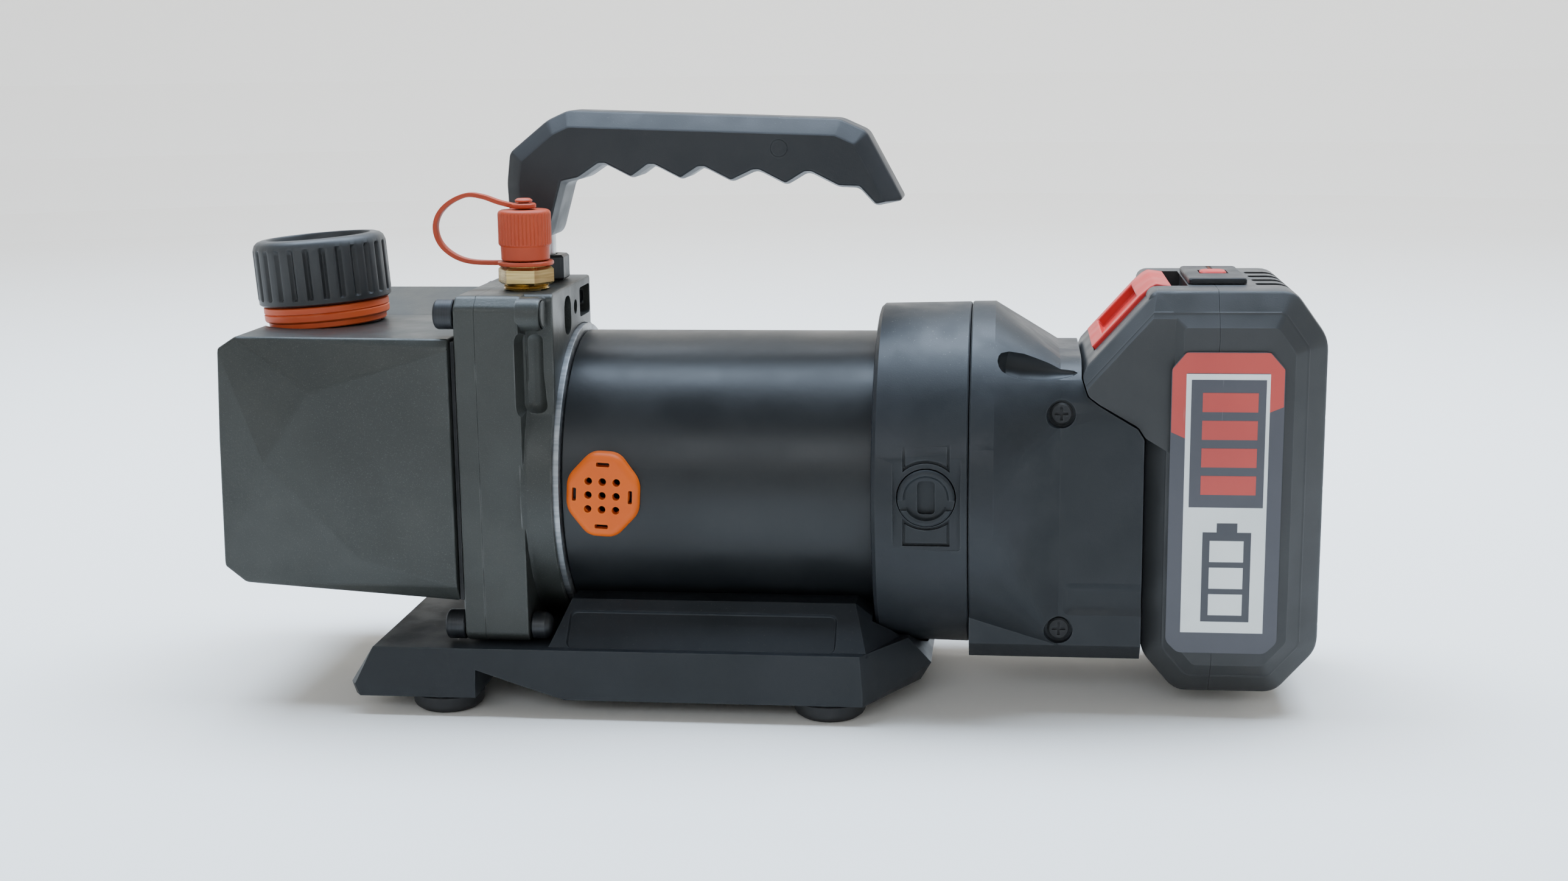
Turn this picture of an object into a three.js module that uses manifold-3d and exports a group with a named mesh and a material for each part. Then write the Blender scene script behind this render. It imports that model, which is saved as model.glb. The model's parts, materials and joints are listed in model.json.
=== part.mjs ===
// Cordless vacuum pump for refrigeration work: a rotary vane pump in a cast oil tank, driven by
// a brushed motor in a round tube, with a slide-on battery, a carry handle and a moulded base.
// Millimetres, +Z up. The pieces are laid out about the motor's axis, which runs along X with
// x = 0 at the front end of the motor tube. The finished group is then moved so that its origin
// is the middle of the footprint, on the ground. The near side is -Y.

import * as THREE from 'three';
import { mergeVertices } from 'three/addons/utils/BufferGeometryUtils.js';
import { ConvexGeometry } from 'three/addons/geometries/ConvexGeometry.js';
import Module from 'manifold-3d';

const wasm = await Module();
wasm.setup();

// ---------------------------------------------------------------- driving dimensions

const AXIS_HEIGHT = 62.5; // ground to the motor's axis
const MIDDLE_X = 56.05; // front end of the motor tube to the middle of the object
const GAP = 0.3; // between pieces that rest on each other
const ROUND = 32; // segments of a large, a medium and a small circle
const MEDIUM = 16;
const SMALL = 10;

const TUBE_START = 1;
const TUBE_RADIUS = 41.5;
const TUBE_WALL = 2;
const TUBE_END = 92;
const SHAFT_RADIUS = 4;

const REAR = { radius: 50, start: 89.1, end: 115.7, wall: 3.2 };
const BRUSH = { x: 104.4, capZ: 2.2, capRadius: 7.9 };

const BODY = {
  left: -27.6, parting: -21.5, flangeRight: -8.8, near: -45, lipNear: -37, top: 56.8, bottom: -42.5,
};
const COLLAR = { radius: 44.8, end: -0.9, seat: 43.8, seatDepth: 1.7 }; // round front of the casting
const BOLTS = [[-40.5, 51.5], [17, 50.2], [-40.5, -38.4], [40.5, -38.4]]; // y, z of the body screws

const TANK = { left: -99.7, right: -29.2, near: -46, top: 45, farTop: 50.5, farRise: 8 };
const FILLER = { x: -77, y: -5, z: 44.3, lean: 4 }; // seat of the fill cap, lean in degrees
const DRAIN = { x: -82, z: -31.5 };
const GLASS_Z = -1;

const PUMP = { left: -51.9, radius: 22, boreRadius: 16, rotorRadius: 13, drop: 2.7 };

const FITTING = { x: -10.9, y: -25 };
const STUD = { x: -11.5, radius: 3.8 };
const GRIP_HALF_WIDTH = 12;

const ADAPTER = { near: -36, top: 37.2, bottom: -47.5, end: 164, neck: 141, drumEnd: 122.7 };
const SWITCH = { x: 152, z: -12, lean: 8 };
const PACK = {
  left: 147.1, case: 164.3, parting: 183.5, right: 213.5, top: 57.3, bottom: -57, half: 36.3,
};
const RAIL = { inner: 17, outer: 25, top: 12 };

const BASE = { top: -43, bottom: -57, half: 52, topHalf: 50 };
const FEET = { x: [-34, 77], y: 41.5, radius: 10.3 };

// ---------------------------------------------------------------- geometry helpers

const X = new THREE.Vector3(1, 0, 0);
const Y = new THREE.Vector3(0, 1, 0);
const Z = new THREE.Vector3(0, 0, 1);
const EXTRUDE_TURN = {
  x: new THREE.Matrix4().makeBasis(Y, Z, X),
  y: new THREE.Matrix4().makeBasis(X, Z, Y.clone().negate()),
  z: new THREE.Matrix4(),
};
const LATHE_TURN = {
  x: new THREE.Matrix4().makeRotationZ(-Math.PI / 2),
  y: new THREE.Matrix4(),
  z: new THREE.Matrix4().makeRotationX(Math.PI / 2),
};
const ALONG = { x: X, y: Y, z: Z };

function signedVolume(positions, corners) {
  const [a, b, c] = [new THREE.Vector3(), new THREE.Vector3(), new THREE.Vector3()];
  let six = 0;
  for (let i = 0; i < corners.length; i += 3) {
    a.fromArray(positions, 3 * corners[i]);
    b.fromArray(positions, 3 * corners[i + 1]);
    c.fromArray(positions, 3 * corners[i + 2]);
    six += a.dot(b.cross(c));
  }
  return six / 6;
}

// Turns a closed geometry into a solid whose faces point outwards.
function toSolid(geometry) {
  const bare = geometry.clone();
  bare.deleteAttribute('normal');
  bare.deleteAttribute('uv');
  const merged = mergeVertices(bare, 1e-4);
  const vertProperties = new Float32Array(merged.getAttribute('position').array);
  const corners = [];
  const index = merged.index.array;
  for (let i = 0; i < index.length; i += 3) {
    const [a, b, c] = [index[i], index[i + 1], index[i + 2]];
    if (a !== b && b !== c && c !== a) corners.push(a, b, c);
  }
  if (signedVolume(vertProperties, corners) < 0) corners.reverse();
  const mesh = new wasm.Mesh({ numProp: 3, vertProperties, triVerts: new Uint32Array(corners) });
  return new wasm.Manifold(mesh);
}

function toGeometry(solid) {
  const mesh = solid.getMesh();
  const geometry = new THREE.BufferGeometry();
  geometry.setAttribute('position', new THREE.BufferAttribute(mesh.vertProperties, mesh.numProp));
  geometry.setIndex(new THREE.BufferAttribute(mesh.triVerts, 1));
  return geometry;
}

function join(...pieces) {
  return toGeometry(pieces.map(toSolid).reduce((whole, piece) => whole.add(piece)));
}

function cut(piece, ...tools) {
  return toGeometry(tools.map(toSolid).reduce((rest, tool) => rest.subtract(tool), toSolid(piece)));
}

function keepInside(piece, space) {
  return toGeometry(toSolid(piece).intersect(toSolid(space)));
}

function toShape(outline) {
  return new THREE.Shape(outline.map(([u, v]) => new THREE.Vector2(u, v)));
}

// An outline pushed along an axis: outlines are (y, z) along x, (x, z) along y, (x, y) along z.
function prism(outline, axis, from, to, bevel = 0) {
  const shape = outline instanceof THREE.Shape ? outline : toShape(outline);
  const geometry = new THREE.ExtrudeGeometry(shape, {
    depth: to - from - 2 * bevel,
    bevelEnabled: bevel > 0,
    bevelSize: bevel,
    bevelThickness: bevel,
    bevelOffset: -bevel,
    bevelSegments: 1,
    curveSegments: 6,
  });
  geometry.translate(0, 0, bevel);
  geometry.applyMatrix4(EXTRUDE_TURN[axis]);
  const start = ALONG[axis].clone().multiplyScalar(axis === 'y' ? to : from);
  return geometry.translate(start.x, start.y, start.z);
}

// A profile of [distance along the axis, radius] pairs turned about the axis.
function turned(profile, axis, segments = MEDIUM) {
  const points = profile.map(([along, radius]) => new THREE.Vector2(radius, along));
  const last = points.length - 1;
  const closed = points[0].x === 0 && points[last].x === 0;
  if (!closed) points.push(points[0].clone());
  return new THREE.LatheGeometry(points, segments).applyMatrix4(LATHE_TURN[axis]);
}

function disc(radius, axis, from, to, segments = MEDIUM) {
  return turned([[from, 0], [from, radius], [to, radius], [to, 0]], axis, segments);
}

function ring(inner, outer, axis, from, to, segments = MEDIUM) {
  return turned([[from, inner], [from, outer], [to, outer], [to, inner]], axis, segments);
}

function box([x0, y0, z0], [x1, y1, z1]) {
  const geometry = new THREE.BoxGeometry(x1 - x0, y1 - y0, z1 - z0);
  return geometry.translate((x0 + x1) / 2, (y0 + y1) / 2, (z0 + z1) / 2);
}

function hull(points) {
  return new ConvexGeometry(points.map((point) => new THREE.Vector3(...point)));
}

function bothSides(points) {
  return points.flatMap(([x, y, z]) => [[x, y, z], [x, -y, z]]);
}

function mirrored(geometry) {
  return geometry.clone().applyMatrix4(new THREE.Matrix4().makeScale(1, -1, 1));
}

function polygon(count, radius, phase = 0) {
  return Array.from({ length: count }, (_, i) => {
    const angle = phase + (2 * Math.PI * i) / count;
    return [radius * Math.cos(angle), radius * Math.sin(angle)];
  });
}

function circleAlongX(x, radius, count = ROUND) {
  return polygon(count, radius, Math.PI / count).map(([y, z]) => [x, y, z]);
}

function roundedRectangle(left, bottom, right, top, radius) {
  const shape = new THREE.Shape();
  shape.moveTo(left + radius, bottom);
  shape.lineTo(right - radius, bottom);
  shape.absarc(right - radius, bottom + radius, radius, -Math.PI / 2, 0);
  shape.absarc(right - radius, top - radius, radius, 0, Math.PI / 2);
  shape.absarc(left + radius, top - radius, radius, Math.PI / 2, Math.PI);
  shape.absarc(left + radius, bottom + radius, radius, Math.PI, 1.5 * Math.PI);
  return shape;
}

// ---------------------------------------------------------------- materials

const finish = (color, roughness, metalness) => ({ color, roughness, metalness });
const FINISHES = {
  castPaint: finish(0x45483f, 0.55, 0.4),
  tubePaint: finish(0x1d2022, 0.42, 0.2),
  blackPlastic: finish(0x24272b, 0.55, 0),
  handlePlastic: finish(0x2b2e33, 0.6, 0),
  orangePlastic: finish(0xe8812e, 0.5, 0),
  orangeSeal: finish(0xd8602f, 0.55, 0),
  orangeSoft: finish(0xd9694a, 0.6, 0),
  redPlastic: finish(0xd8403c, 0.45, 0),
  label: finish(0x57505c, 0.5, 0),
  machined: finish(0xb9bcbc, 0.35, 0.9),
  steel: finish(0x9b9ea1, 0.35, 0.9),
  blackSteel: finish(0x1b1c1e, 0.4, 0.6),
  brass: finish(0xb79a58, 0.32, 0.9),
  rubber: finish(0x1a1a1b, 0.85, 0),
  glass: finish(0xd8e6e4, 0.08, 0),
  copper: finish(0xa8693c, 0.4, 0.8),
  carbon: finish(0x2a2a2a, 0.7, 0.1),
  board: finish(0x1f5a3a, 0.6, 0),
  cell: finish(0x3a7a9a, 0.45, 0.1),
};

const pump = new THREE.Group();

function add(name, geometry, look, parent = pump) {
  const material = new THREE.MeshStandardMaterial(FINISHES[look]);
  const mesh = new THREE.Mesh(toGeometry(toSolid(geometry)), material);
  mesh.name = name;
  parent.add(mesh);
  return mesh;
}

// ---------------------------------------------------------------- oil tank

const filler = new THREE.Group();
filler.position.set(FILLER.x, FILLER.y, FILLER.z);
filler.rotation.y = THREE.MathUtils.degToRad(-FILLER.lean);
filler.updateMatrix();
pump.add(filler);

const inFiller = (geometry) => geometry.applyMatrix4(filler.matrix);

function tankOutside() {
  const { right, near, top, farTop, farRise } = TANK;
  const facets = hull(bothSides([
    [-92.4, -41, top], [right, -44.5, top], [-98.4, -40, 41.3],
    [-70, near, 29.6], [right, near, 42.4], [-84.6, -45.2, 9], [-57, near, -19], [right, near, -26],
    [-99.2, -40.5, 15], [TANK.left, -41, -22.3], [-93.3, -41.5, -27.1], [right, -42.5, -31],
  ]));
  const farRidge = hull([-90, -34.5].flatMap((x) => [
    [x, farRise, top], [x, farRise, 38], [x, 38, farTop], [x, 43.8, top], [x, 43.8, 38],
  ]));
  const drainBoss = disc(9, 'z', DRAIN.z, -22).translate(DRAIN.x, 0, 0);
  return join(facets, farRidge, drainBoss);
}

function oilTank() {
  const inside = hull(bothSides([
    [-95.8, -36.5, -20], [-94.8, -36, 38], [TANK.right + 1, -38.5, -26], [TANK.right + 1, -38.5, 40.5],
  ]));
  const capSeat = inFiller(disc(19.4, 'z', 0, 14, ROUND));
  const neckHole = inFiller(disc(15.9, 'z', -14, 1));
  const glassHole = disc(9.6, 'x', TANK.left - 1, -94).translate(0, 0, GLASS_Z);
  const drainHole = disc(4.6, 'z', DRAIN.z - 1, -15, SMALL).translate(DRAIN.x, 0, 0);
  const screwClearance = disc(5.6, 'x', -35, TANK.right + 1, SMALL).translate(0, BOLTS[1][0], BOLTS[1][1]);
  return cut(tankOutside(), inside, capSeat, neckHole, glassHole, drainHole, screwClearance);
}

function tankGasket() {
  const outline = [[-43.5, -30.5], [43.5, -30.5], [43.5, 44], [-43.5, 44]];
  const window = [[-38, -25.5], [38, -25.5], [38, 40], [-38, 40]];
  const [from, to] = [TANK.right + GAP, BODY.left - GAP];
  return cut(prism(outline, 'x', from, to), prism(window, 'x', from - 1, to + 1));
}

const CAP = { radius: 19.6, bottom: 7, top: 26.2, ribs: 26, bore: 16.1 };

function fillCap() {
  const { radius, bottom, top, ribs, bore } = CAP;
  const core = turned([
    [bottom, 0], [bottom, radius - 0.2], [bottom + 1.5, radius - 0.2], [bottom + 1.5, radius - 0.9],
    [top - 3, radius - 0.9], [top - 2.9, radius - 0.1], [top - 1.4, radius - 0.6], [top, radius - 2.6],
    [top, radius - 4], [top - 2.2, radius - 4.4], [top - 2.2, 0],
  ], 'z', ribs);
  const ribOutline = Array.from({ length: ribs }, (_, i) => [0, 0.15, 0.5, 0.65].map((share, corner) => {
    const angle = (2 * Math.PI * (i + share)) / ribs;
    const reach = corner === 1 || corner === 2 ? radius : radius - 0.9;
    return [reach * Math.cos(angle), reach * Math.sin(angle)];
  })).flat();
  const ribbed = prism(ribOutline, 'z', bottom + 1, top - 2.4);
  return cut(join(core, ribbed), disc(bore, 'z', bottom - 1, top - 6));
}

function addOilTank() {
  add('oil_tank', oilTank(), 'castPaint');
  add('tank_gasket', tankGasket(), 'rubber');
  const neck = turned([[-7, 12], [-7, 15.5], [12, 15.5], [12, 14.3], [-6, 12]], 'z');
  add('filler_neck', neck, 'blackPlastic', filler);
  const seal = turned([
    [GAP, 15.8], [GAP, 17.2], [2, 17.2], [2, 18.4], [CAP.bottom - GAP, 18.4], [CAP.bottom - GAP, 15.8],
  ], 'z', 24);
  add('cap_seal_ring', seal, 'orangeSeal', filler);
  add('oil_fill_cap', fillCap(), 'blackPlastic', filler);

  const face = TANK.left - GAP;
  add('sight_glass', disc(9.2, 'x', face, -96.4).translate(0, 0, GLASS_Z), 'glass');
  const bezel = turned([
    [face - 1.4, 7.6], [face - 1.4, 11], [face, 12.4], [face, 9.8], [face - 0.4, 7.6],
  ], 'x');
  add('sight_glass_bezel', bezel.translate(0, 0, GLASS_Z), 'machined');

  const headTop = DRAIN.z - 1.6;
  const drainSeal = ring(4.8, 7.2, 'z', DRAIN.z - 1.3, DRAIN.z - GAP);
  add('drain_seal', drainSeal.translate(DRAIN.x, 0, 0), 'rubber');
  const plug = join(
    prism(polygon(6, 7.4), 'z', headTop - 3.4, headTop),
    disc(4.2, 'z', headTop - 0.1, headTop + 8, SMALL),
  );
  add('drain_plug', plug.translate(DRAIN.x, 0, 0), 'brass');
}

// ---------------------------------------------------------------- pump body

const FLANGE = [
  [-41.7, BODY.top], [BODY.near, 53.5], [BODY.near, BODY.bottom + 2], [-43, BODY.bottom],
  [43, BODY.bottom], [45, BODY.bottom + 2], [45, 28], [20, BODY.top],
];

function boltHoles(radius, from, to) {
  return BOLTS.map(([y, z]) => disc(radius, 'x', from, to, SMALL).translate(0, y, z));
}

function bodyCoverPlate() {
  const plate = prism(FLANGE, 'x', BODY.left, BODY.parting - GAP / 2);
  const shaftHole = disc(5.5, 'x', BODY.left - 1, BODY.parting + 1);
  return cut(plate, shaftHole, ...boltHoles(3, BODY.left - 1, BODY.parting + 1));
}

// The rectangular flange, the round collar that takes the motor, and the thick lip above it.
function pumpBody() {
  const { parting, flangeRight, lipNear, top } = BODY;
  const { radius, end, seat, seatDepth } = COLLAR;
  const start = parting + GAP / 2;
  const outside = end + 1;
  const flange = prism(FLANGE, 'x', start, flangeRight);
  const collar = disc(radius, 'x', flangeRight - 0.1, end, ROUND);
  const lipOutline = [[lipNear, 24], [15, 24], [15, top], [lipNear + 1.5, top], [lipNear, top - 1.5]];
  const lip = prism(lipOutline, 'x', flangeRight - 0.1, end);

  const ringSeat = disc(seat, 'x', end - seatDepth, outside, ROUND);
  const shaftHole = disc(5.6, 'x', start - 1, -13);
  const sealPocket = disc(8.3, 'x', start - 1, -15);
  const couplingRoom = disc(18, 'x', -14, outside);
  const nearSlot = prism(roundedRectangle(flangeRight, 23.6, -3.2, 50, 2.4), 'y', -46, lipNear + 0.6);
  const slot = prism(roundedRectangle(-21.6, 42.6, -12.6, 54, 4.4), 'x', -7.5, outside);
  const portHole = disc(2.2, 'x', -7.5, outside, SMALL).translate(0, -6.5, 49.5);
  const pocket = prism(roundedRectangle(-0.6, 45.6, 13.4, 54.4, 1.5), 'x', -7.5, outside);
  const fittingHole = disc(5.4, 'z', 46, top + 1, SMALL).translate(FITTING.x, FITTING.y, 0);
  const studHole = disc(STUD.radius + GAP, 'z', 49, top + 1, SMALL).translate(STUD.x, 0, 0);
  return cut(
    join(flange, collar, lip), ringSeat, shaftHole, sealPocket, couplingRoom, nearSlot, slot, portHole,
    pocket, fittingHole, studHole, ...boltHoles(3, start - 1, -8), ...boltHoles(4.4, flangeRight, -2.5),
  );
}

function bodyScrew([y, z]) {
  const head = BODY.left - GAP;
  const screw = turned([
    [head - 5.6, 0], [head - 5.6, 3.7], [head - 5, 4.25], [head, 4.25], [head, 2.6], [-8.2, 2.6],
    [-8.2, 3.9], [-4.2, 3.9], [-2.9, 2.6], [-2.9, 0],
  ], 'x', SMALL);
  const socket = prism(polygon(6, 2.2), 'x', head - 6, head - 3);
  return cut(screw, socket).translate(0, y, z);
}

function addPumpBody() {
  add('body_cover_plate', bodyCoverPlate(), 'castPaint');
  add('pump_body', pumpBody(), 'castPaint');
  BOLTS.forEach((place, i) => add(`body_screw_${i + 1}`, bodyScrew(place), 'blackSteel'));
  add('shaft_seal', ring(5.3, 8, 'x', -21.1, -15.3), 'rubber');
}

// ---------------------------------------------------------------- inlet fitting and its cap

function tetherLoop(thickness) {
  const curve = new THREE.SplineCurve([
    [-13.6, 80.5], [-18, 81.6], [-22.7, 83.2], [-27.2, 83.7], [-32, 81.8], [-35.4, 78.7], [-36.8, 75],
    [-36.2, 71.2], [-34, 68.1], [-30.2, 65.7], [-25.5, 64.6], [-17.5, 64.4],
  ].map(([x, z]) => new THREE.Vector2(x, z)));
  const steps = 24;
  const side = (sign) => Array.from({ length: steps + 1 }, (_, i) => {
    const point = curve.getPoint(i / steps);
    const along = curve.getTangent(i / steps);
    return [point.x - (sign * along.y * thickness) / 2, point.y + (sign * along.x * thickness) / 2];
  });
  return prism([...side(1), ...side(-1).reverse()], 'y', -1.5, 1.5);
}

function addInlet() {
  const place = (geometry) => geometry.translate(FITTING.x, FITTING.y, 0);
  const fitting = join(
    disc(5, 'z', 47, 57.2, SMALL),
    disc(6.5, 'z', BODY.top + GAP, 58.5),
    prism(polygon(6, 8.1), 'z', 58.4, 63.4),
    turned([[63.3, 0], [63.3, 5.6], [74, 5.6], [76, 4.2], [76, 0]], 'z'),
  );
  add('inlet_fitting', place(cut(fitting, disc(2.8, 'z', 46, 77, SMALL))), 'brass');

  const cap = turned([
    [65.3, 0], [65.3, 6.9], [69.2, 6.9], [69.3, 7.4], [79.5, 7.4], [79.5, 1.5], [81.7, 1.5], [81.7, 2.3],
    [82.8, 1.9], [82.8, 0],
  ], 'z');
  add('inlet_cap', place(cut(cap, disc(6, 'z', 64, 77))), 'orangeSoft');

  const eye = ring(1.9, 3.5, 'z', 79.9, 81.3, SMALL).translate(FITTING.x, 0, 0);
  const collar = ring(5.95, 8, 'z', 63.8, 65).translate(FITTING.x, 0, 0);
  const tether = join(eye, tetherLoop(1.3), collar).translate(0, FITTING.y, 0);
  add('cap_tether', tether, 'orangeSoft');
}

// ---------------------------------------------------------------- handle

// The handle leans down slightly towards its free end. Points are (x, z) about the motor's axis.
const GRIP_OUTLINE = [
  [-19.4, 70], [-20, 86], [-18.9, 94.8], [-7.5, 104], [-1.2, 106.8], [77.7, 103.8], [85.6, 100.2],
  [96.2, 80.5], [88.2, 78.9], [82.7, 84.2], [3.6, 87], [-2.3, 86], [-6, 70],
];
const FINGER_PEAKS = [[9.2, 91], [23.6, 90.6], [38.2, 89.9], [54, 88.9], [69, 88.3]];

function fingerNotch([x, z]) {
  const drop = 7;
  return prism([[x - 1.2, z], [x + 1.2, z - 0.1], [x + 9.4, z - drop], [x - 9.8, z - drop]], 'y', -20, 20);
}

function addHandle() {
  const grip = prism(GRIP_OUTLINE, 'y', -GRIP_HALF_WIDTH, GRIP_HALF_WIDTH, 1.6);
  const studHole = disc(STUD.radius + GAP, 'z', 60, 78, SMALL).translate(STUD.x, 0, 0);
  add('handle_grip', cut(grip, ...FINGER_PEAKS.map(fingerNotch), studHole), 'handlePlastic');
  add('handle_stud', disc(STUD.radius, 'z', 49.5, 77.5, SMALL).translate(STUD.x, 0, 0), 'steel');
  const nutBottom = BODY.top + GAP;
  const nut = cut(prism(polygon(6, 7.9, Math.PI / 6), 'z', nutBottom, 64.5), disc(4.2, 'z', 50, 66, SMALL));
  add('handle_nut', nut.translate(STUD.x, 0, 0), 'blackSteel');
}

// ---------------------------------------------------------------- vane pump inside the tank

function addVanePump() {
  const { left, radius, boreRadius, rotorRadius, drop } = PUMP;
  const right = BODY.left - GAP;
  const bore = disc(boreRadius, 'x', left - 1, right + 1, ROUND).translate(0, 0, -drop);
  const valveSeat = box([-50, -9, 20.6], [-31, 9, 30]);
  const outlet = box([-42, -1.5, 10], [-38, 1.5, 25]);
  const stator = cut(disc(radius, 'x', left, right, ROUND), bore, valveSeat, outlet);
  add('pump_stator', stator, 'machined');
  const leaf = roundedRectangle(-48.5, -4, -33, 4, 2);
  add('exhaust_valve', prism(leaf, 'z', 20.6 + GAP, 21.4), 'steel');
  add('pump_end_plate', ring(5.4, radius, 'x', left - 4.8, left - GAP), 'machined');

  const rotor = turned([
    [-56.4, 0], [-56.4, 5], [-51.6, 5], [-51.6, rotorRadius], [-28.3, rotorRadius], [-28.3, 5],
    [-10.8, 5], [-10.8, 0],
  ], 'x', ROUND);
  const slot = box([-52, 3.2, -1.6], [-28, 20, 1.6]);
  add('pump_rotor', cut(rotor, slot, mirrored(slot)), 'steel');
  add('vane_1', box([-51.4, -12.7, -1.3], [-28.6, -3.6, 1.3]), 'carbon');
  add('vane_2', box([-51.4, 3.6, -1.3], [-28.6, 12.7, 1.3]), 'carbon');
}

// ---------------------------------------------------------------- motor

function addMotor() {
  const spigot = TUBE_RADIUS - TUBE_WALL - GAP;
  const shield = turned([
    [-2.3, 6], [-2.3, 42.7], [-1.7, 43.5], [0.3, 43.5], [0.7, 43.1], [0.7, spigot], [5, spigot], [5, 37],
    [2, 37], [2, 14.5], [8.6, 14.5], [8.6, 11.3], [1.4, 11.3], [1.4, 6],
  ], 'x', ROUND);
  add('motor_front_shield', shield, 'machined');
  add('front_bearing', ring(SHAFT_RADIUS + GAP, 11, 'x', 1.8, 8.4), 'steel');

  const ventHole = disc(8, 'y', -50, -30).translate(13.2, 0, 0.6);
  const tube = ring(TUBE_RADIUS - TUBE_WALL, TUBE_RADIUS, 'x', TUBE_START, TUBE_END, ROUND);
  add('motor_tube', cut(tube, ventHole), 'tubePaint');
  add('field_ring', ring(25.2, 38.6, 'x', 26, 80), 'steel');

  const armature = turned([
    [-10.3, 0], [-10.3, SHAFT_RADIUS], [24, SHAFT_RADIUS], [24, 16], [30, 19], [30, 24], [76, 24],
    [76, 19], [83, 16], [90, 8], [97, 8], [97, 12], [111, 12], [111, SHAFT_RADIUS], [119.2, SHAFT_RADIUS],
    [119.2, 0],
  ], 'x');
  add('armature', armature, 'copper');

  const blades = Array.from({ length: 9 }, (_, i) => box([11, 9, -0.8], [18.2, 33, 0.8])
    .rotateX((2 * Math.PI * i) / 9));
  const hub = turned([[11, 4.3], [11, 10], [17.8, 10], [17.8, 34], [19.2, 34], [19.2, 4.3]], 'x');
  add('cooling_fan', join(hub, ...blades), 'blackPlastic');

  const coupling = turned([
    [-14, 5.3], [-14, 9], [-4, 9], [-4, SHAFT_RADIUS + GAP], [-10.5, SHAFT_RADIUS + GAP], [-10.5, 5.3],
  ], 'x');
  add('shaft_coupling', coupling, 'steel');
}

function addVentGrille() {
  const quarter = [[4, 12.2], [10.6, 4.6]];
  const half = [...quarter, ...quarter.map(([x, z]) => [x, -z]).reverse()];
  const outline = [...half, ...half.map(([x, z]) => [-x, z]).reverse()];
  const plate = prism(outline, 'y', -43.9, -38.4, 1.1);
  const rows = [-4, 0, 4];
  const holes = rows.flatMap((x) => rows.map((z) => disc(0.95, 'y', -45, -37, 6).translate(x, 0, z)));
  const wide = [-8.9, 8.9].map((z) => box([-1.8, -45, z - 0.55], [1.8, -37, z + 0.55]));
  const tall = [-8, 8].map((x) => box([x - 0.55, -45, -1.8], [x + 0.55, -37, 1.8]));
  const flatOnTube = disc(TUBE_RADIUS + GAP, 'x', -13, 13, ROUND).translate(0, 0, -0.6);
  const spigot = ring(6.6, 7.6, 'y', -42.4, -38.6);
  const face = cut(plate, ...holes, ...wide, ...tall, flatOnTube);
  const vent = add('vent_grille', join(face, spigot), 'orangePlastic');
  vent.position.set(13.2, 0, 0.6);
}

// ---------------------------------------------------------------- rear cover

function rearCover() {
  const { radius, start, end, wall } = REAR;
  const inner = radius - wall;
  const shell = turned([
    [start, TUBE_RADIUS + GAP], [start, radius - 1.6], [start + 1.3, radius - 0.2], [end, radius + 0.2],
    [end, 12], [121, 12], [121, 5], [119.9, 5], [119.9, 9.3], [112.2, 9.3], [112.2, inner],
    [TUBE_END + 0.5, inner], [TUBE_END + 0.5, TUBE_RADIUS + GAP],
  ], 'x', ROUND);
  const panel = box([95.3, -60, -12.6], [113.8, -48.3, 18.4]);
  const holes = [-1, 1].map((side) => {
    const hole = disc(BRUSH.capRadius + GAP, 'y', 40, 60).translate(BRUSH.x, 0, BRUSH.capZ);
    return side > 0 ? hole : mirrored(hole);
  });
  return cut(shell, panel, mirrored(panel), ...holes);
}

function brushCap() {
  const cap = turned([
    [44.6, 0], [44.6, BRUSH.capRadius], [48.9, BRUSH.capRadius], [49.3, 7.4], [49.3, 5.9], [48.3, 5.6],
    [48.3, 0],
  ], 'y');
  const driverSlot = box([-4.4, 47.4, -1], [4.4, 50, 1]);
  return cut(cap, driverSlot).translate(BRUSH.x, 0, BRUSH.capZ);
}

function addRearCover() {
  add('rear_cover', rearCover(), 'blackPlastic');
  add('rear_bearing', ring(SHAFT_RADIUS + GAP, 9, 'x', 112.8, 119.5), 'steel');
  add('brush_cap_far', brushCap(), 'blackPlastic');
  add('brush_cap_near', mirrored(brushCap()), 'blackPlastic');
  const brush = box([BRUSH.x - 2.5, 12.4, -4], [BRUSH.x + 2.5, 30, 4]);
  add('brush_far', brush, 'carbon');
  add('brush_near', mirrored(brush), 'carbon');
}

// ---------------------------------------------------------------- battery adapter and switch

// Side view of the slanted step where the battery's shoulder sits on the adapter.
function shoulderStep(clearance) {
  return [[147, 33], [148.6, 28.3], [151.7, 26], [162.4, 19.7], [164.2, 16.8]]
    .map(([x, z]) => [x - clearance, z - clearance]);
}

function railPair(grow) {
  const { inner, outer, top } = RAIL;
  const [root, web, reach] = [ADAPTER.end - 0.4, 21 + grow, 170 + grow];
  const outline = [
    [root, inner - grow], [reach, inner - grow], [reach, outer + grow], [167 - grow, outer + grow],
    [167 - grow, web], [root, web],
  ];
  const low = grow > 0 ? PACK.bottom - 1 : -44;
  const rail = prism(outline, 'z', low, top + grow);
  return join(rail, mirrored(rail));
}

// Outline (y, z) of the adapter's neck: flat sides, small lower corners and wide upper corners.
function neckOutline(size = 1) {
  const { near, top, bottom } = ADAPTER;
  const middle = (top + bottom) / 2;
  const side = [
    [near + 5, bottom], [near, bottom + 5], [near, top - 17], [near + 3.5, top - 8.5], [near + 9, top - 3],
    [near + 18, top],
  ].map(([y, z]) => [y * size, middle + (z - middle) * size]);
  return [...side, ...side.map(([y, z]) => [-y, z]).reverse()];
}

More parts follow.
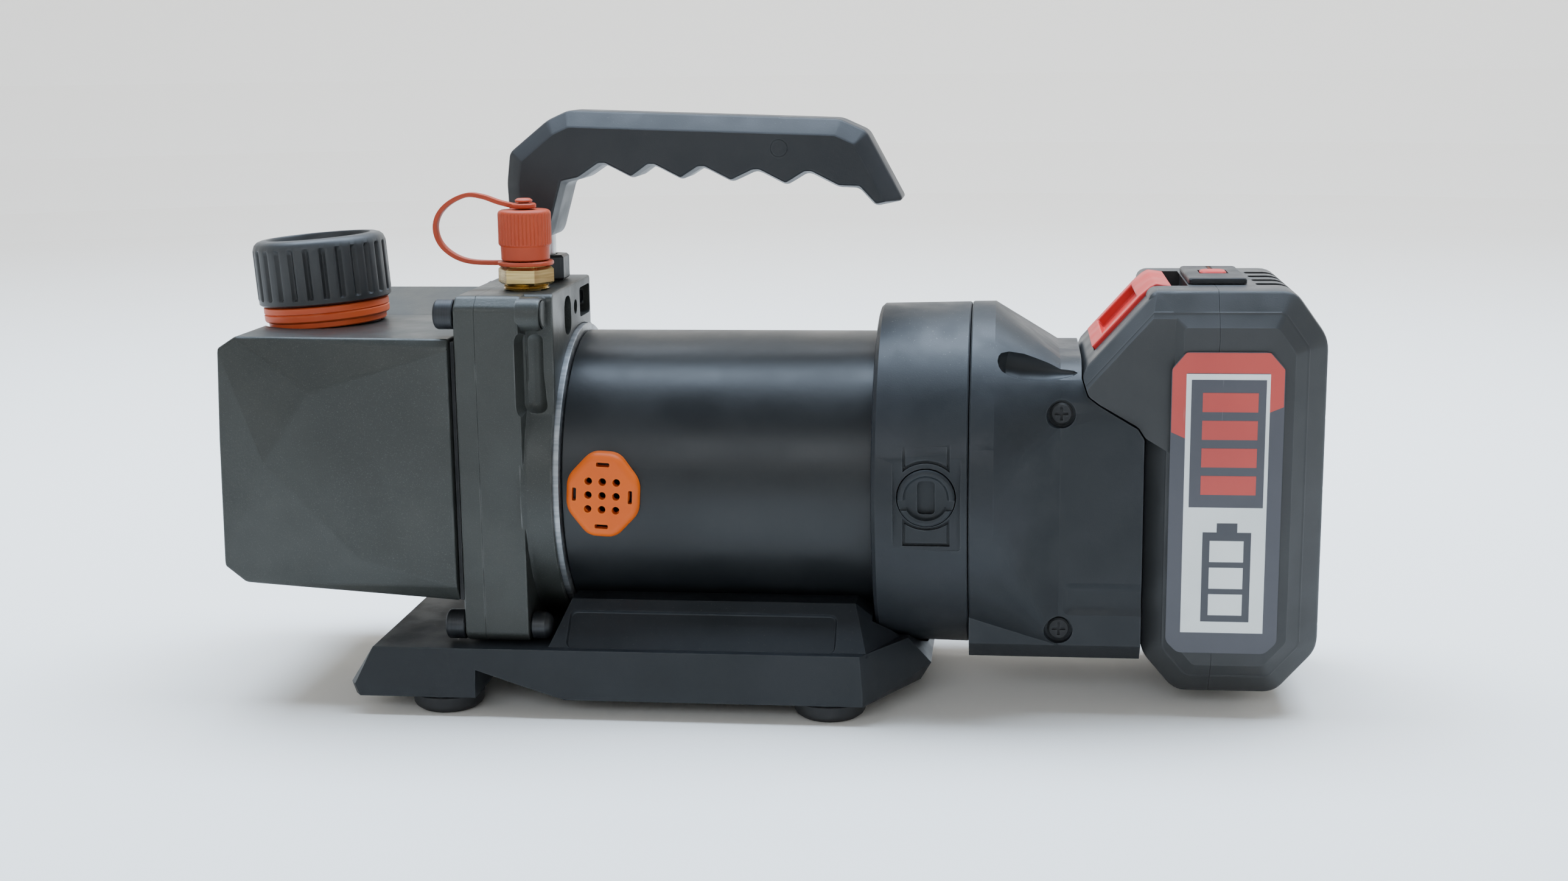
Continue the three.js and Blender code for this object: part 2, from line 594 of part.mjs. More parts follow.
// The drum behind the rear cover, drawn in to the neck, with a square foot under it.
function adapterTaper() {
  const { bottom, neck, drumEnd } = ADAPTER;
  const start = REAR.end + GAP;
  const drum = [...circleAlongX(start, REAR.radius + 0.2), ...circleAlongX(drumEnd, REAR.radius + 0.4)];
  const taper = hull([...drum, ...neckOutline().map(([y, z]) => [neck, y, z])]);
  const foot = keepInside(prism(neckOutline(), 'x', start, neck), box([100, -60, bottom], [200, 60, -28]));
  return join(keepInside(taper, box([0, -60, bottom], [200, 60, 60])), foot);
}

// Tapering recess along the near shoulder of the taper, for a screwdriver.
function driverChannel() {
  const recess = turned([[0, 0], [1, 3], [3.5, 4.6], [8, 5], [15, 3.6], [22, 1], [23, 0]], 'x', SMALL);
  const yaw = THREE.MathUtils.degToRad(11.6);
  const pitch = THREE.MathUtils.degToRad(10.3);
  return recess.rotateY(pitch).rotateZ(yaw).translate(123.5, -33, 38);
}

function adapterHousing() {
  const { near, top, bottom, end, neck } = ADAPTER;
  const start = REAR.end + GAP;
  const from = neck - 0.2;
  const sideView = [[from, bottom], [from, top], [146.8, top], ...shoulderStep(GAP), [end, bottom]];
  const tail = keepInside(
    prism(sideView, 'y', near, -near, 1.2),
    prism(neckOutline(), 'x', neck - 1, end + 1),
  );

  const taperRoom = hull([
    ...circleAlongX(start - 1, 45.5), ...circleAlongX(122, 45.5),
    ...neckOutline(0.92).map(([y, z]) => [neck, y, z]),
  ]);
  const tailRoom = box([neck - 1, near + 3, bottom + 3.2], [end - 3, -near - 3, 15]);
  const contactWindow = box([end - 4, -14.5, -22.5], [end + 1, 14.5, 8.5]);
  const screwHoles = [23.5, -38].map((z) =>
    disc(3.9, 'y', near - 1, near + 2.2, SMALL).translate(141.2, 0, z));
  const { x, z } = SWITCH;
  const switchHole = box([x - 5.4, -near - 4, z - 11.4], [x + 5.4, -near + 1, z + 11.4]);
  const hubRoom = disc(12.4, 'x', start - 1, 122);
  const shell = cut(
    join(adapterTaper(), tail), taperRoom, tailRoom, contactWindow, ...screwHoles, driverChannel(),
    mirrored(driverChannel()), switchHole, hubRoom,
  );
  return join(shell, railPair(0));
}

function addSwitch() {
  const { x, z, lean } = SWITCH;
  const half = -ADAPTER.near;
  const frame = box([x - 7.4, half + GAP, z - 13.4], [x + 7.4, half + 1.6, z + 13.4]);
  const bezel = cut(frame, box([x - 5.1, 30, z - 11.1], [x + 5.1, 40, z + 11.1]));
  add('switch_bezel', bezel, 'blackPlastic');
  const side = [[-5, -9.2], [2, -9.6], [4.2, -9.3], [2.6, 0], [4.2, 9.3], [2, 9.6], [-5, 9.2]];
  const switchGroup = new THREE.Group();
  switchGroup.position.set(x, half, z);
  switchGroup.rotation.x = THREE.MathUtils.degToRad(-lean);
  pump.add(switchGroup);
  add('switch_rocker', prism(side, 'x', -4.6, 4.6), 'redPlastic', switchGroup);
}

function addAdapter() {
  add('adapter_housing', adapterHousing(), 'blackPlastic');
  const contacts = [-8, 0, 8].map((y) => box([163, y - 0.5, -18], [169, y + 0.5, 4]));
  add('terminal_block', join(box([158, -14, -22], [163.6, 14, 8]), ...contacts), 'blackPlastic');
  add('controller_board', box([131, -30, -34], [132.6, 30, 28]), 'board');
  addSwitch();
}

// ---------------------------------------------------------------- battery

const BATTERY_CASE = [
  [PACK.case, -45.5], [174, PACK.bottom], [202, PACK.bottom], [PACK.right, -44], [PACK.right, 44],
  [204, PACK.top], [166.8, PACK.top], [PACK.case, 54.3],
];
const BATTERY_SHOULDER = [
  [148.3, 36.5], ...shoulderStep(0), [180, 12], [180, PACK.top], [166.8, PACK.top], [163.6, 53.5],
];
const LATCH_OUTLINE = [
  [149.8, 40], [153.6, 36.4], [168.4, 51.8], [171.6, 53.6], [171.6, 57.3], [167.2, 57.9], [165.6, 57],
  [162.8, 54.5],
];
const LATCH_TRAVEL = 4;

function batteryOutside() {
  const { half } = PACK;
  const middle = [(PACK.case + PACK.right) / 2, 0];
  const inset = BATTERY_CASE.map(([x, z]) => [middle[0] + (x - middle[0]) * 0.86, z * 0.92]);
  const main = hull(bothSides([
    ...BATTERY_CASE.map(([x, z]) => [x, -half + 6, z]),
    ...inset.map(([x, z]) => [x, -half, z]),
  ]));
  return join(main, prism(BATTERY_SHOULDER, 'y', -half + 1.6, half - 1.6, 1.5));
}

function batteryShell() {
  const cellRoom = box([173.2, -33, -51], [210.4, 33, 51]);
  const shoulderRoom = box([167, -31, 24], [175, 31, 50]);
  const latchSweep = [-GAP, LATCH_TRAVEL + 1].flatMap((shift) =>
    LATCH_OUTLINE.map(([x, z]) => [x + shift, -19.4, z - GAP]));
  const latchRoom = join(
    hull(bothSides(latchSweep)),
    box([166, -19.4, 50], [172 + LATCH_TRAVEL, 19.4, 70]),
  );
  const contactChannel = box([PACK.case - 1, -11, PACK.bottom - 1], [171.5, 11, 8]);
  const buttonHole = box([180.4, -4.4, 50], [188.6, 4.4, 60]);
  const ribs = [-15, -5, 5, 15].map((y) => box([195, y - 2, 54.5], [206, y + 2, 60]));
  const tools = [cellRoom, shoulderRoom, latchRoom, contactChannel, railPair(0.5), buttonHole, ...ribs];
  return cut(batteryOutside(), ...tools);
}

function cellPack() {
  const [rows, radius, pitch] = [[182.3, 200.7], 9, 18.4];
  const levels = [-2, -1, 0, 1, 2].map((step) => step * pitch);
  const cells = rows.flatMap((x) => levels.map((z) => disc(radius, 'y', -32, 32, 8).translate(x, 0, z)));
  return join(box([174, -2, -45], [209, 2, 45]), ...cells);
}

// The latch lies on the shoulder's slope and has a scoop for the thumb.
function batteryLatch() {
  const scoop = [[151.4, 44.8], [154.4, 41], [163.6, 51.4], [161.2, 55.6]];
  return cut(prism(LATCH_OUTLINE, 'y', -19, 19), prism(scoop, 'y', -14.5, 14.5));
}

function addBattery() {
  const battery = new THREE.Group();
  pump.add(battery);
  const shell = batteryShell();
  const railHalf = box([140, -60, -80], [PACK.parting - GAP / 2, 60, 80]);
  const outerHalf = box([PACK.parting + GAP / 2, -60, -80], [230, 60, 80]);
  add('battery_rail_shell', keepInside(shell, railHalf), 'blackPlastic', battery);
  add('battery_case', keepInside(shell, outerHalf), 'blackPlastic', battery);
  add('battery_cells', cellPack(), 'cell', battery);
  add('battery_latch', batteryLatch(), 'redPlastic', battery);

  const panel = box([176.4, -17, PACK.top + GAP], [192.6, 17, 59.2]);
  add('button_panel', cut(panel, box([180.4, -4.4, 50], [188.6, 4.4, 60])), 'blackPlastic', battery);
  const button = prism(roundedRectangle(180.8, -4, 188.2, 4, 2.5), 'z', 53.4, 59.7);
  add('charge_button', button, 'redPlastic', battery);

  const labelOutline = [
    [174, -43.6], [198, -43.6], [201.2, -40.4], [201.2, 36.6], [197.2, 41.2], [174.6, 41.2], [170.8, 36.6],
    [170.8, -40.4],
  ];
  const labelBack = -PACK.half - 0.1;
  add('battery_label', prism(labelOutline, 'y', labelBack - 0.5, labelBack), 'label', battery);
}

// ---------------------------------------------------------------- base and feet

function basePlate() {
  const { top, bottom, half, topHalf } = BASE;
  const slab = hull(bothSides([
    [-60.4, -49, bottom + 3.4], [-59, -49.5, bottom], [-58.6, -half, bottom + 3.4],
    [-57.2, -half, bottom], [87, -half, bottom],
    [102, -26, bottom + 0.5], [105, -24, bottom + 5], [87, -half, bottom + 4],
    [-53.5, -topHalf, top], [-53.5, -20, top], [86, -topHalf, top], [98.6, -30, top],
  ]));
  const saddle = hull(bothSides([
    [-3.4, -48, top - 1], [-4.4, -30, top - 1], [88, -48, top - 1], [2, -36, -31.5], [84, -36, -31.5],
    [97, -28, top - 1],
  ]));
  const archOutline = [[-23.4, bottom - 1], [-23.4, -49], [2.5, bottom], [2.5, bottom - 1]];
  const pads = FEET.x.flatMap((x) => [-1, 1].map((side) =>
    disc(FEET.radius, 'z', bottom - 0.2, bottom + 4).translate(x, side * FEET.y, 0)));
  return cut(
    join(cut(slab, prism(archOutline, 'y', -60, 60)), saddle, ...pads),
    disc(TUBE_RADIUS + GAP, 'x', 1.4, 130, ROUND),
    disc(COLLAR.radius + GAP, 'x', BODY.flangeRight - GAP, 1.5, ROUND),
    disc(REAR.radius + 0.8, 'x', REAR.start - 0.6, 130, ROUND),
  );
}

function addBase() {
  add('base_plate', basePlate(), 'blackPlastic');
  const names = { '-1': 'near', 1: 'far' };
  FEET.x.forEach((x, end) => [-1, 1].forEach((side) => {
    const low = -AXIS_HEIGHT;
    const foot = turned([
      [low, 0], [low, 7.6], [low + 1.2, FEET.radius - 0.7], [BASE.bottom - 0.5, FEET.radius],
      [BASE.bottom - 0.5, 0],
    ], 'z');
    const name = `foot_${end === 0 ? 'front' : 'rear'}_${names[side]}`;
    add(name, foot.translate(x, side * FEET.y, 0), 'rubber');
  }));
}

// ---------------------------------------------------------------- assembly

addOilTank();
addPumpBody();
addInlet();
addHandle();
addVanePump();
addMotor();
addVentGrille();
addRearCover();
addAdapter();
addBattery();
addBase();

pump.position.set(-MIDDLE_X, 0, AXIS_HEIGHT);

export default pump;
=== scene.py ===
"""Looks of a cordless vacuum pump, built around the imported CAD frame.

Pieces are modelled in millimetres about the motor's axis, as the CAD is: x = 0 is the front end
of the motor tube, -Y is the near side and +Z is up. PLACE then puts them in the row frame."""

import json
import math

import bmesh
import bpy
from mathutils import Matrix, Vector


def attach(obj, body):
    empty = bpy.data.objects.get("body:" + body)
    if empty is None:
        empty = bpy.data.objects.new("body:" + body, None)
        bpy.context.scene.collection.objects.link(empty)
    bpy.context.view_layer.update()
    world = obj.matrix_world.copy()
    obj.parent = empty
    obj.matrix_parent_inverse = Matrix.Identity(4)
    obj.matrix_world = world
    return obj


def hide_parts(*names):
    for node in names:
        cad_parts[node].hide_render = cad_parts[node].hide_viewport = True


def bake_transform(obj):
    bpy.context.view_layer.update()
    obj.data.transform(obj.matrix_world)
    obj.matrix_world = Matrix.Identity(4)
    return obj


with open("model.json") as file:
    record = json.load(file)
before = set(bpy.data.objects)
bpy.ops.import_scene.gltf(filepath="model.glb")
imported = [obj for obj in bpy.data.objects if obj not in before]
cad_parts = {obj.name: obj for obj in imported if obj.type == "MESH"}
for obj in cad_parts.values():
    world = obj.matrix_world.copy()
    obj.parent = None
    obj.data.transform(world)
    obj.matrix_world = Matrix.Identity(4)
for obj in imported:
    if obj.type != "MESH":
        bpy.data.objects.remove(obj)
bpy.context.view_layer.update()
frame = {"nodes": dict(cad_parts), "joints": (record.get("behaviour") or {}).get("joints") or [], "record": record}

MM = 0.001
AXIS = Vector(next(joint["pos_m"] for joint in frame["joints"] if joint["name"] == "rotor_spin"))
PLACE = Matrix.Translation(AXIS) @ Matrix.Scale(MM, 4)
SLOT_OF = {part["node"]: part["material_slot"] for part in frame["record"]["subparts"]}
BODY_OF = {node: body for body, nodes in frame["record"]["behaviour"]["bodies"].items() for node in nodes}

X, Y, Z = Vector((1, 0, 0)), Vector((0, 1, 0)), Vector((0, 0, 1))
# For each axis: the directions of an outline's first and second coordinate, and of the axis itself.
TURNED_TO = {"x": (Y, Z, X), "y": (X, Z, Y), "z": (X, Y, Z)}


# ---- mesh helpers

def add_object(name, data):
    obj = bpy.data.objects.new(name, data)
    bpy.context.scene.collection.objects.link(obj)
    return obj


def as_object(name, bm):
    """An object in metres, in the row frame, from a mesh in millimetres about the motor's axis."""
    bmesh.ops.remove_doubles(bm, verts=bm.verts, dist=1e-4)
    bmesh.ops.recalc_face_normals(bm, faces=bm.faces)
    mesh = bpy.data.meshes.new(name)
    bm.to_mesh(mesh)
    bm.free()
    mesh.transform(PLACE)
    return add_object(name, mesh)


def skin(bm, ring_a, ring_b):
    """Faces between two rings of vertices. A ring of one vertex is a point."""
    count = max(len(ring_a), len(ring_b))
    for i in range(count):
        j = (i + 1) % count
        side_a = [ring_a[i % len(ring_a)], ring_a[j % len(ring_a)]]
        side_b = [ring_b[j % len(ring_b)], ring_b[i % len(ring_b)]]
        bm.faces.new(list(dict.fromkeys(side_a + side_b)))


def skin_all(bm, rings, capped=False):
    for ring_a, ring_b in zip(rings, rings[1:]):
        skin(bm, ring_a, ring_b)
    if capped:
        bm.faces.new(rings[0])
        bm.faces.new(rings[-1])


def lathe(name, profile, axis, centre=(0, 0, 0), segments=96):
    """[(distance along, radius), ...] turned about an axis. It closes on itself or on the axis."""
    u, v, along_axis = TURNED_TO[axis]
    bm = bmesh.new()
    rings = []
    for along, radius in profile:
        middle = Vector(centre) + along_axis * along
        count = segments if radius > 0 else 1
        angles = [2 * math.pi * k / segments for k in range(count)]
        rings.append([bm.verts.new(middle + (u * math.cos(a) + v * math.sin(a)) * radius) for a in angles])
    skin_all(bm, rings)
    if profile[0][1] > 0:
        skin(bm, rings[-1], rings[0])
    return as_object(name, bm)


def rod(name, axis, start, end, radius, centre=(0, 0, 0), segments=96):
    profile = [(start, 0), (start, radius), (end, radius), (end, 0)]
    return lathe(name, profile, axis, centre, segments)


def loft(name, sections, axis):
    """A solid through outlines with equal counts of points: [(distance along, outline), ...]."""
    u, v, along_axis = TURNED_TO[axis]
    bm = bmesh.new()
    rings = []
    for along, outline in sections:
        rings.append([bm.verts.new(u * p + v * q + along_axis * along) for p, q in outline])
    skin_all(bm, rings, capped=True)
    return as_object(name, bm)


def prism(name, outline, axis, start, end):
    return loft(name, [(start, outline), (end, outline)], axis)


def block(name, low, high):
    (x0, y0, z0), (x1, y1, z1) = low, high
    return prism(name, rectangle(x0, y0, x1, y1), "z", z0, z1)


def hull(name, points):
    bm = bmesh.new()
    for point in points:
        bm.verts.new(point)
    bmesh.ops.convex_hull(bm, input=bm.verts)
    bmesh.ops.dissolve_limit(bm, angle_limit=math.radians(0.5), verts=bm.verts, edges=bm.edges)
    return as_object(name, bm)


def both_sides(points):
    return [(x, side * y, z) for x, y, z in points for side in (1, -1)]


def circle(radius, count=48, centre=(0, 0)):
    angles = [2 * math.pi * k / count for k in range(count)]
    return [(centre[0] + radius * math.cos(a), centre[1] + radius * math.sin(a)) for a in angles]


def arc(radius, start, end, steps):
    """Points along an arc about (0, 0), between two angles in degrees."""
    angles = [math.radians(start + (end - start) * k / steps) for k in range(steps + 1)]
    return [(radius * math.cos(a), radius * math.sin(a)) for a in angles]


def hexagon(reach, turn=0.0):
    """A hexagon whose corners are at the given reach from its middle."""
    angles = [turn + math.pi * k / 3 for k in range(6)]
    return [(reach * math.cos(a), reach * math.sin(a)) for a in angles]


def rectangle(x0, z0, x1, z1):
    return [(x0, z0), (x1, z0), (x1, z1), (x0, z1)]


def rounded(outline, radius, steps=5):
    """The outline with each corner turned into a curve that starts radius before it."""
    curve = []
    for i, corner in enumerate(outline):
        here = Vector(corner)
        before, after = Vector(outline[i - 1]) - here, Vector(outline[(i + 1) % len(outline)]) - here
        start = here + before.normalized() * min(radius, 0.48 * before.length)
        end = here + after.normalized() * min(radius, 0.48 * after.length)
        for k in range(steps + 1):
            t = k / steps
            point = start * (1 - t) ** 2 + here * 2 * t * (1 - t) + end * t * t
            curve.append((point.x, point.y))
    return curve


def inset(outline, amounts):
    """The outline with its sides moved inwards, all by one amount or each by its own."""
    if isinstance(amounts, (int, float)):
        amounts = [amounts] * len(outline)
    corners = [Vector(corner) for corner in outline]
    area = sum(a.x * b.y - b.x * a.y for a, b in zip(corners, corners[1:] + corners[:1]))
    sides = []
    for a, b, amount in zip(corners, corners[1:] + corners[:1], amounts):
        along = (b - a).normalized()
        inward = Vector((-along.y, along.x)) * (1 if area > 0 else -1)
        sides.append((a + inward * amount, along))
    moved = []
    for (p, u), (q, v) in zip(sides[-1:] + sides[:-1], sides):
        cross = u.x * v.y - u.y * v.x
        reach = (q - p).x * v.y - (q - p).y * v.x
        point = p + u * (reach / cross) if abs(cross) > 1e-3 else q
        moved.append((point.x, point.y))
    return moved


def slab(name, corners, axis, sections, radius, steps=5):
    """A solid with rounded corners that is drawn in along its axis: sections are (distance along, inset)."""
    rings = []
    for along, amount in sections:
        reach = max(amount) if isinstance(amount, list) else amount
        rings.append((along, rounded(inset(corners, amount), max(radius - reach, 0.35 * radius), steps)))
    return loft(name, rings, axis)


def stepped(name, corners, axis, edge, start, end, radius, steps=5):
    """A slab whose edge follows [(depth below the face, inset), ...] at both of its faces."""
    near = [(start + depth, amount) for depth, amount in edge]
    far = [(end - depth, amount) for depth, amount in reversed(edge)]
    return slab(name, corners, axis, near + far, radius, steps)


def bake(obj):
    """Applies the object's modifiers."""
    graph = bpy.context.evaluated_depsgraph_get()
    mesh = bpy.data.meshes.new_from_object(obj.evaluated_get(graph))
    obj.modifiers.clear()
    obj.data = mesh
    return obj


def combine(obj, operation, others):
    for other in others:
        modifier = obj.modifiers.new(operation, "BOOLEAN")
        modifier.operation = operation
        modifier.solver = "EXACT"
        modifier.object = other
    bake(obj)
    for other in others:
        bpy.data.objects.remove(other)
    return obj


def cut(obj, *tools):
    return combine(obj, "DIFFERENCE", tools)


def join(obj, *others):
    return combine(obj, "UNION", others)


def bevel(obj, width, angle=30, segments=3):
    modifier = obj.modifiers.new("edges", "BEVEL")
    modifier.width = width * MM
    modifier.limit_method = "ANGLE"
    modifier.angle_limit = math.radians(angle)
    modifier.segments = segments
    return bake(obj)


def from_cad(name, node):
    """A copy of a CAD node's mesh with its flat faces made whole."""
    bm = bmesh.new()
    bm.from_mesh(frame["nodes"][node].data)
    bm.transform(PLACE.inverted())
    bmesh.ops.remove_doubles(bm, verts=bm.verts, dist=1e-3)
    bmesh.ops.dissolve_limit(bm, angle_limit=math.radians(0.4), verts=bm.verts, edges=bm.edges)
    return as_object(name, bm)


def turn_about(axis, degrees):
    return Matrix.Rotation(math.radians(degrees), 4, axis)


def move(obj, matrix):
    """Moves a piece by a matrix in millimetres about the motor's axis."""
    obj.data.transform(PLACE @ matrix @ PLACE.inverted())
    return obj


def mirror(obj, name):
    """A copy of the object on the other side."""
    copy = add_object(name, obj.data.copy())
    copy.data.transform(Matrix.Scale(-1, 4, Y))
    copy.data.flip_normals()
    return copy


def show(obj, node, slot=None, look=None, stands_for=True, sharp=32):
    """Gives a piece its material, smooth shading and body.

    It stands for the node unless it only adds to it."""
    slot = slot or SLOT_OF[node]
    obj.data.materials.clear()
    obj.data.materials.append(LOOKS[look or slot])
    obj.data.shade_smooth()
    obj.data.set_sharp_from_angle(angle=math.radians(sharp))
    weighted = obj.modifiers.new("normals", "WEIGHTED_NORMAL")
    weighted.keep_sharp = True
    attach(obj, BODY_OF[node])
    if stands_for:
        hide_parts(node)


# ---- materials

def opaque(colour):
    """Adds the fourth number to a colour of three. A socket stays as it is."""
    return (*colour, 1.0) if isinstance(colour, tuple) else colour


class Finish:
    """One material, with short names for the nodes that it uses."""

    def __init__(self, name, roughness=0.5, metallic=0.0, **inputs):
        self.material = bpy.data.materials.new(name)
        self.material.use_nodes = True
        self.tree = self.material.node_tree
        self.shader = self.tree.nodes["Principled BSDF"]
        self.place = self.tree.nodes.new("ShaderNodeTexCoord").outputs["Object"]
        self.shader.inputs["Roughness"].default_value = roughness
        self.shader.inputs["Metallic"].default_value = metallic
        for key, value in inputs.items():
            self.shader.inputs[key.replace("_", " ")].default_value = value
        LOOKS[name] = self.material

    def add(self, kind, inputs, **settings):
        node = self.tree.nodes.new(kind)
        for key, value in settings.items():
            setattr(node, key, value)
        for key, value in inputs.items():
            if isinstance(value, bpy.types.NodeSocket):
                self.tree.links.new(value, node.inputs[key])
            else:
                node.inputs[key].default_value = value
        return node

    def stretched(self, scale):
        return self.add("ShaderNodeMapping", {"Vector": self.place, "Scale": scale}).outputs[0]

    def noise(self, scale, detail=2.0, place=None):
        inputs = {"Vector": place or self.place, "Scale": scale, "Detail": detail}
        return self.add("ShaderNodeTexNoise", inputs).outputs["Fac"]

    def band(self, value, low, high, to_low=0.0, to_high=1.0):
        inputs = {"Value": value, "From Min": low, "From Max": high, "To Min": to_low, "To Max": to_high}
        return self.add("ShaderNodeMapRange", inputs, interpolation_type="SMOOTHSTEP").outputs["Result"]

    def mix(self, factor, first, second):
        first, second = opaque(first), opaque(second)
        return self.add("ShaderNodeMix", {0: factor, 6: first, 7: second}, data_type="RGBA").outputs[2]

    def times(self, first, second):
        return self.add("ShaderNodeMath", {0: first, 1: second}, operation="MULTIPLY").outputs[0]

    def edges(self, radius):
        """1 along sharp edges and 0 on flat faces."""
        soft = self.add("ShaderNodeBevel", {"Radius": radius * MM}, samples=6).outputs["Normal"]
        true = self.add("ShaderNodeNewGeometry", {}).outputs["Normal"]
        likeness = self.add("ShaderNodeVectorMath", {0: soft, 1: true}, operation="DOT_PRODUCT")
        return self.band(likeness.outputs["Value"], 0.995, 0.93)

    def upward(self):
        normal = self.add("ShaderNodeNewGeometry", {}).outputs["Normal"]
        height = self.add("ShaderNodeSeparateXYZ", {"Vector": normal}).outputs["Z"]
        return self.band(height, 0.55, 1.0)

    def colour(self, socket):
        self.tree.links.new(socket, self.shader.inputs["Base Color"])

    def roughness(self, socket):
        self.tree.links.new(socket, self.shader.inputs["Roughness"])

    def bump(self, height, strength, depth):
        """Relief of a depth in millimetres. A second call adds to the first."""
        inputs = {"Height": height, "Strength": strength, "Distance": depth * MM}
        before = self.shader.inputs["Normal"].links
        if before:
            inputs["Normal"] = before[0].from_socket
        self.tree.links.new(self.add("ShaderNodeBump", inputs).outputs[0], self.shader.inputs["Normal"])


LOOKS = {}


def moulded(name, dark, light, worn, roughness, grain=2600, depth=0.05, shine=0.5, **inputs):
    """Moulded plastic or rubber: fine grain, uneven sheen, rubbed edges and a little dust on top."""
    wear, dust = 0.35, 0.25
    f = Finish(name, roughness, Specular_IOR_Level=shine, **inputs)
    patches = f.band(f.noise(28, 4), 0.35, 0.65)
    body = f.mix(patches, dark, light)
    rubbed = f.times(f.edges(0.7), f.band(f.noise(160, 3), 0.35, 0.7, 0.15, 1.0))
    body = f.mix(f.times(rubbed, wear), body, worn)
    specks = f.times(f.band(f.noise(1900, 1), 0.70, 0.78), f.upward())
    f.colour(f.mix(f.times(specks, dust), body, (0.32, 0.31, 0.29)))
    f.roughness(f.band(f.noise(90, 4), 0.3, 0.7, roughness - 0.07, roughness + 0.07))
    f.bump(f.noise(grain, 2), 0.35, depth)
    f.bump(f.noise(70, 2), 0.12, 0.25)


def painted_casting():
    """Sand-textured hammer grey paint with fine metallic specks."""
    f = Finish("cast_paint", 0.45, 0.35)
    base = f.mix(f.band(f.noise(22, 5), 0.35, 0.68), (0.024, 0.026, 0.023), (0.034, 0.036, 0.032))
    specks = f.band(f.noise(3600, 2), 0.58, 0.72)
    base = f.mix(f.times(specks, 0.35), base, (0.09, 0.09, 0.087))
    worn = f.times(f.edges(0.6), f.band(f.noise(140, 3), 0.40, 0.62))
    f.colour(f.mix(f.times(worn, 0.45), base, (0.16, 0.16, 0.155)))
    f.roughness(f.band(f.noise(60, 4), 0.3, 0.7, 0.38, 0.54))
    f.bump(f.noise(1500, 3), 0.45, 0.09)
    f.bump(f.noise(110, 3), 0.18, 0.35)


def powder_coat():
    """Satin black coating with a slight orange peel."""
    f = Finish("tube_paint", 0.38, 0.0, Specular_IOR_Level=0.36)
    f.colour(f.mix(f.band(f.noise(18, 4), 0.3, 0.7), (0.006, 0.007, 0.008), (0.010, 0.011, 0.012)))
    f.roughness(f.band(f.noise(45, 5), 0.3, 0.7, 0.33, 0.44))
    f.bump(f.noise(420, 2), 0.20, 0.10)
    f.bump(f.noise(2400, 2), 0.25, 0.03)


def turned_metal(name, dark, light, roughness, lines=(2600, 60, 60), metallic=1.0,
                 tarnish=(0.2, 0.2, 0.2)):
    """Bare metal with fine tool marks across the stretch direction."""
    f = Finish(name, roughness, metallic)
    marks = f.noise(1, 3, f.stretched(lines))
    body = f.mix(f.band(marks, 0.3, 0.7), dark, light)
    stains = f.band(f.noise(55, 5), 0.52, 0.75)
    f.colour(f.mix(f.times(stains, 0.45), body, tarnish))
    f.roughness(f.band(f.noise(120, 4), 0.3, 0.7, roughness - 0.06, roughness + 0.12))
    f.bump(marks, 0.25, 0.05)


def clear_glass():
    f = Finish("glass", 0.04, 0.0, Transmission_Weight=1.0, IOR=1.5)
    f.colour(f.mix(f.band(f.noise(60, 3), 0.4, 0.7), (0.93, 0.96, 0.95), (0.86, 0.91, 0.90)))
    f.roughness(f.band(f.noise(300, 4), 0.45, 0.75, 0.03, 0.14))


def printed(name, dark, light):
    """Printed film with a fine satin grain."""
    f = Finish(name, 0.42, 0.0, Coat_Weight=0.2, Coat_Roughness=0.3)
    body = f.mix(f.band(f.noise(35, 4), 0.3, 0.7), dark, light)
    scuffs = f.band(f.noise(1, 4, f.stretched((900, 900, 45))), 0.70, 0.80)
    f.colour(f.mix(f.times(scuffs, 0.25), body, (0.45, 0.45, 0.45)))
    f.bump(f.noise(1800, 2), 0.15, 0.02)


def make_plastics():
    moulded("black_plastic", (0.012, 0.014, 0.016), (0.016, 0.018, 0.021), (0.06, 0.065, 0.07),
            0.45, shine=0.26)
    moulded("case_plastic", (0.024, 0.025, 0.026), (0.031, 0.032, 0.033), (0.08, 0.08, 0.085),
            0.45, shine=0.36)
    moulded("handle_plastic", (0.016, 0.017, 0.019), (0.022, 0.023, 0.025), (0.07, 0.075, 0.08),
            0.50, shine=0.28)
    moulded("orange_plastic", (0.56, 0.085, 0.001), (0.62, 0.105, 0.002), (0.70, 0.20, 0.02),
            0.50, 1800, 0.03, shine=0.3)
    moulded("orange_seal", (0.58, 0.075, 0.016), (0.68, 0.105, 0.024), (0.78, 0.26, 0.12),
            0.50, 1500, 0.03)
    moulded("orange_soft", (0.34, 0.038, 0.010), (0.40, 0.050, 0.014), (0.48, 0.12, 0.05),
            0.52, 1500, 0.03, shine=0.35, Subsurface_Weight=0.12, Subsurface_Scale=0.001)
    moulded("red_plastic", (0.50, 0.014, 0.014), (0.58, 0.020, 0.018), (0.66, 0.10, 0.09),
            0.45, 1500, 0.02, shine=0.35)
    moulded("rubber", (0.010, 0.010, 0.011), (0.016, 0.016, 0.017), (0.06, 0.06, 0.06),
            0.78, 1800, 0.06)
    moulded("carbon", (0.015, 0.015, 0.015), (0.028, 0.028, 0.028), (0.08, 0.08, 0.08), 0.6)
    moulded("circuit_board", (0.008, 0.06, 0.025), (0.012, 0.09, 0.035), (0.25, 0.28, 0.12), 0.4)
    moulded("cell_wrap", (0.02, 0.10, 0.18), (0.03, 0.14, 0.24), (0.2, 0.3, 0.4), 0.35)


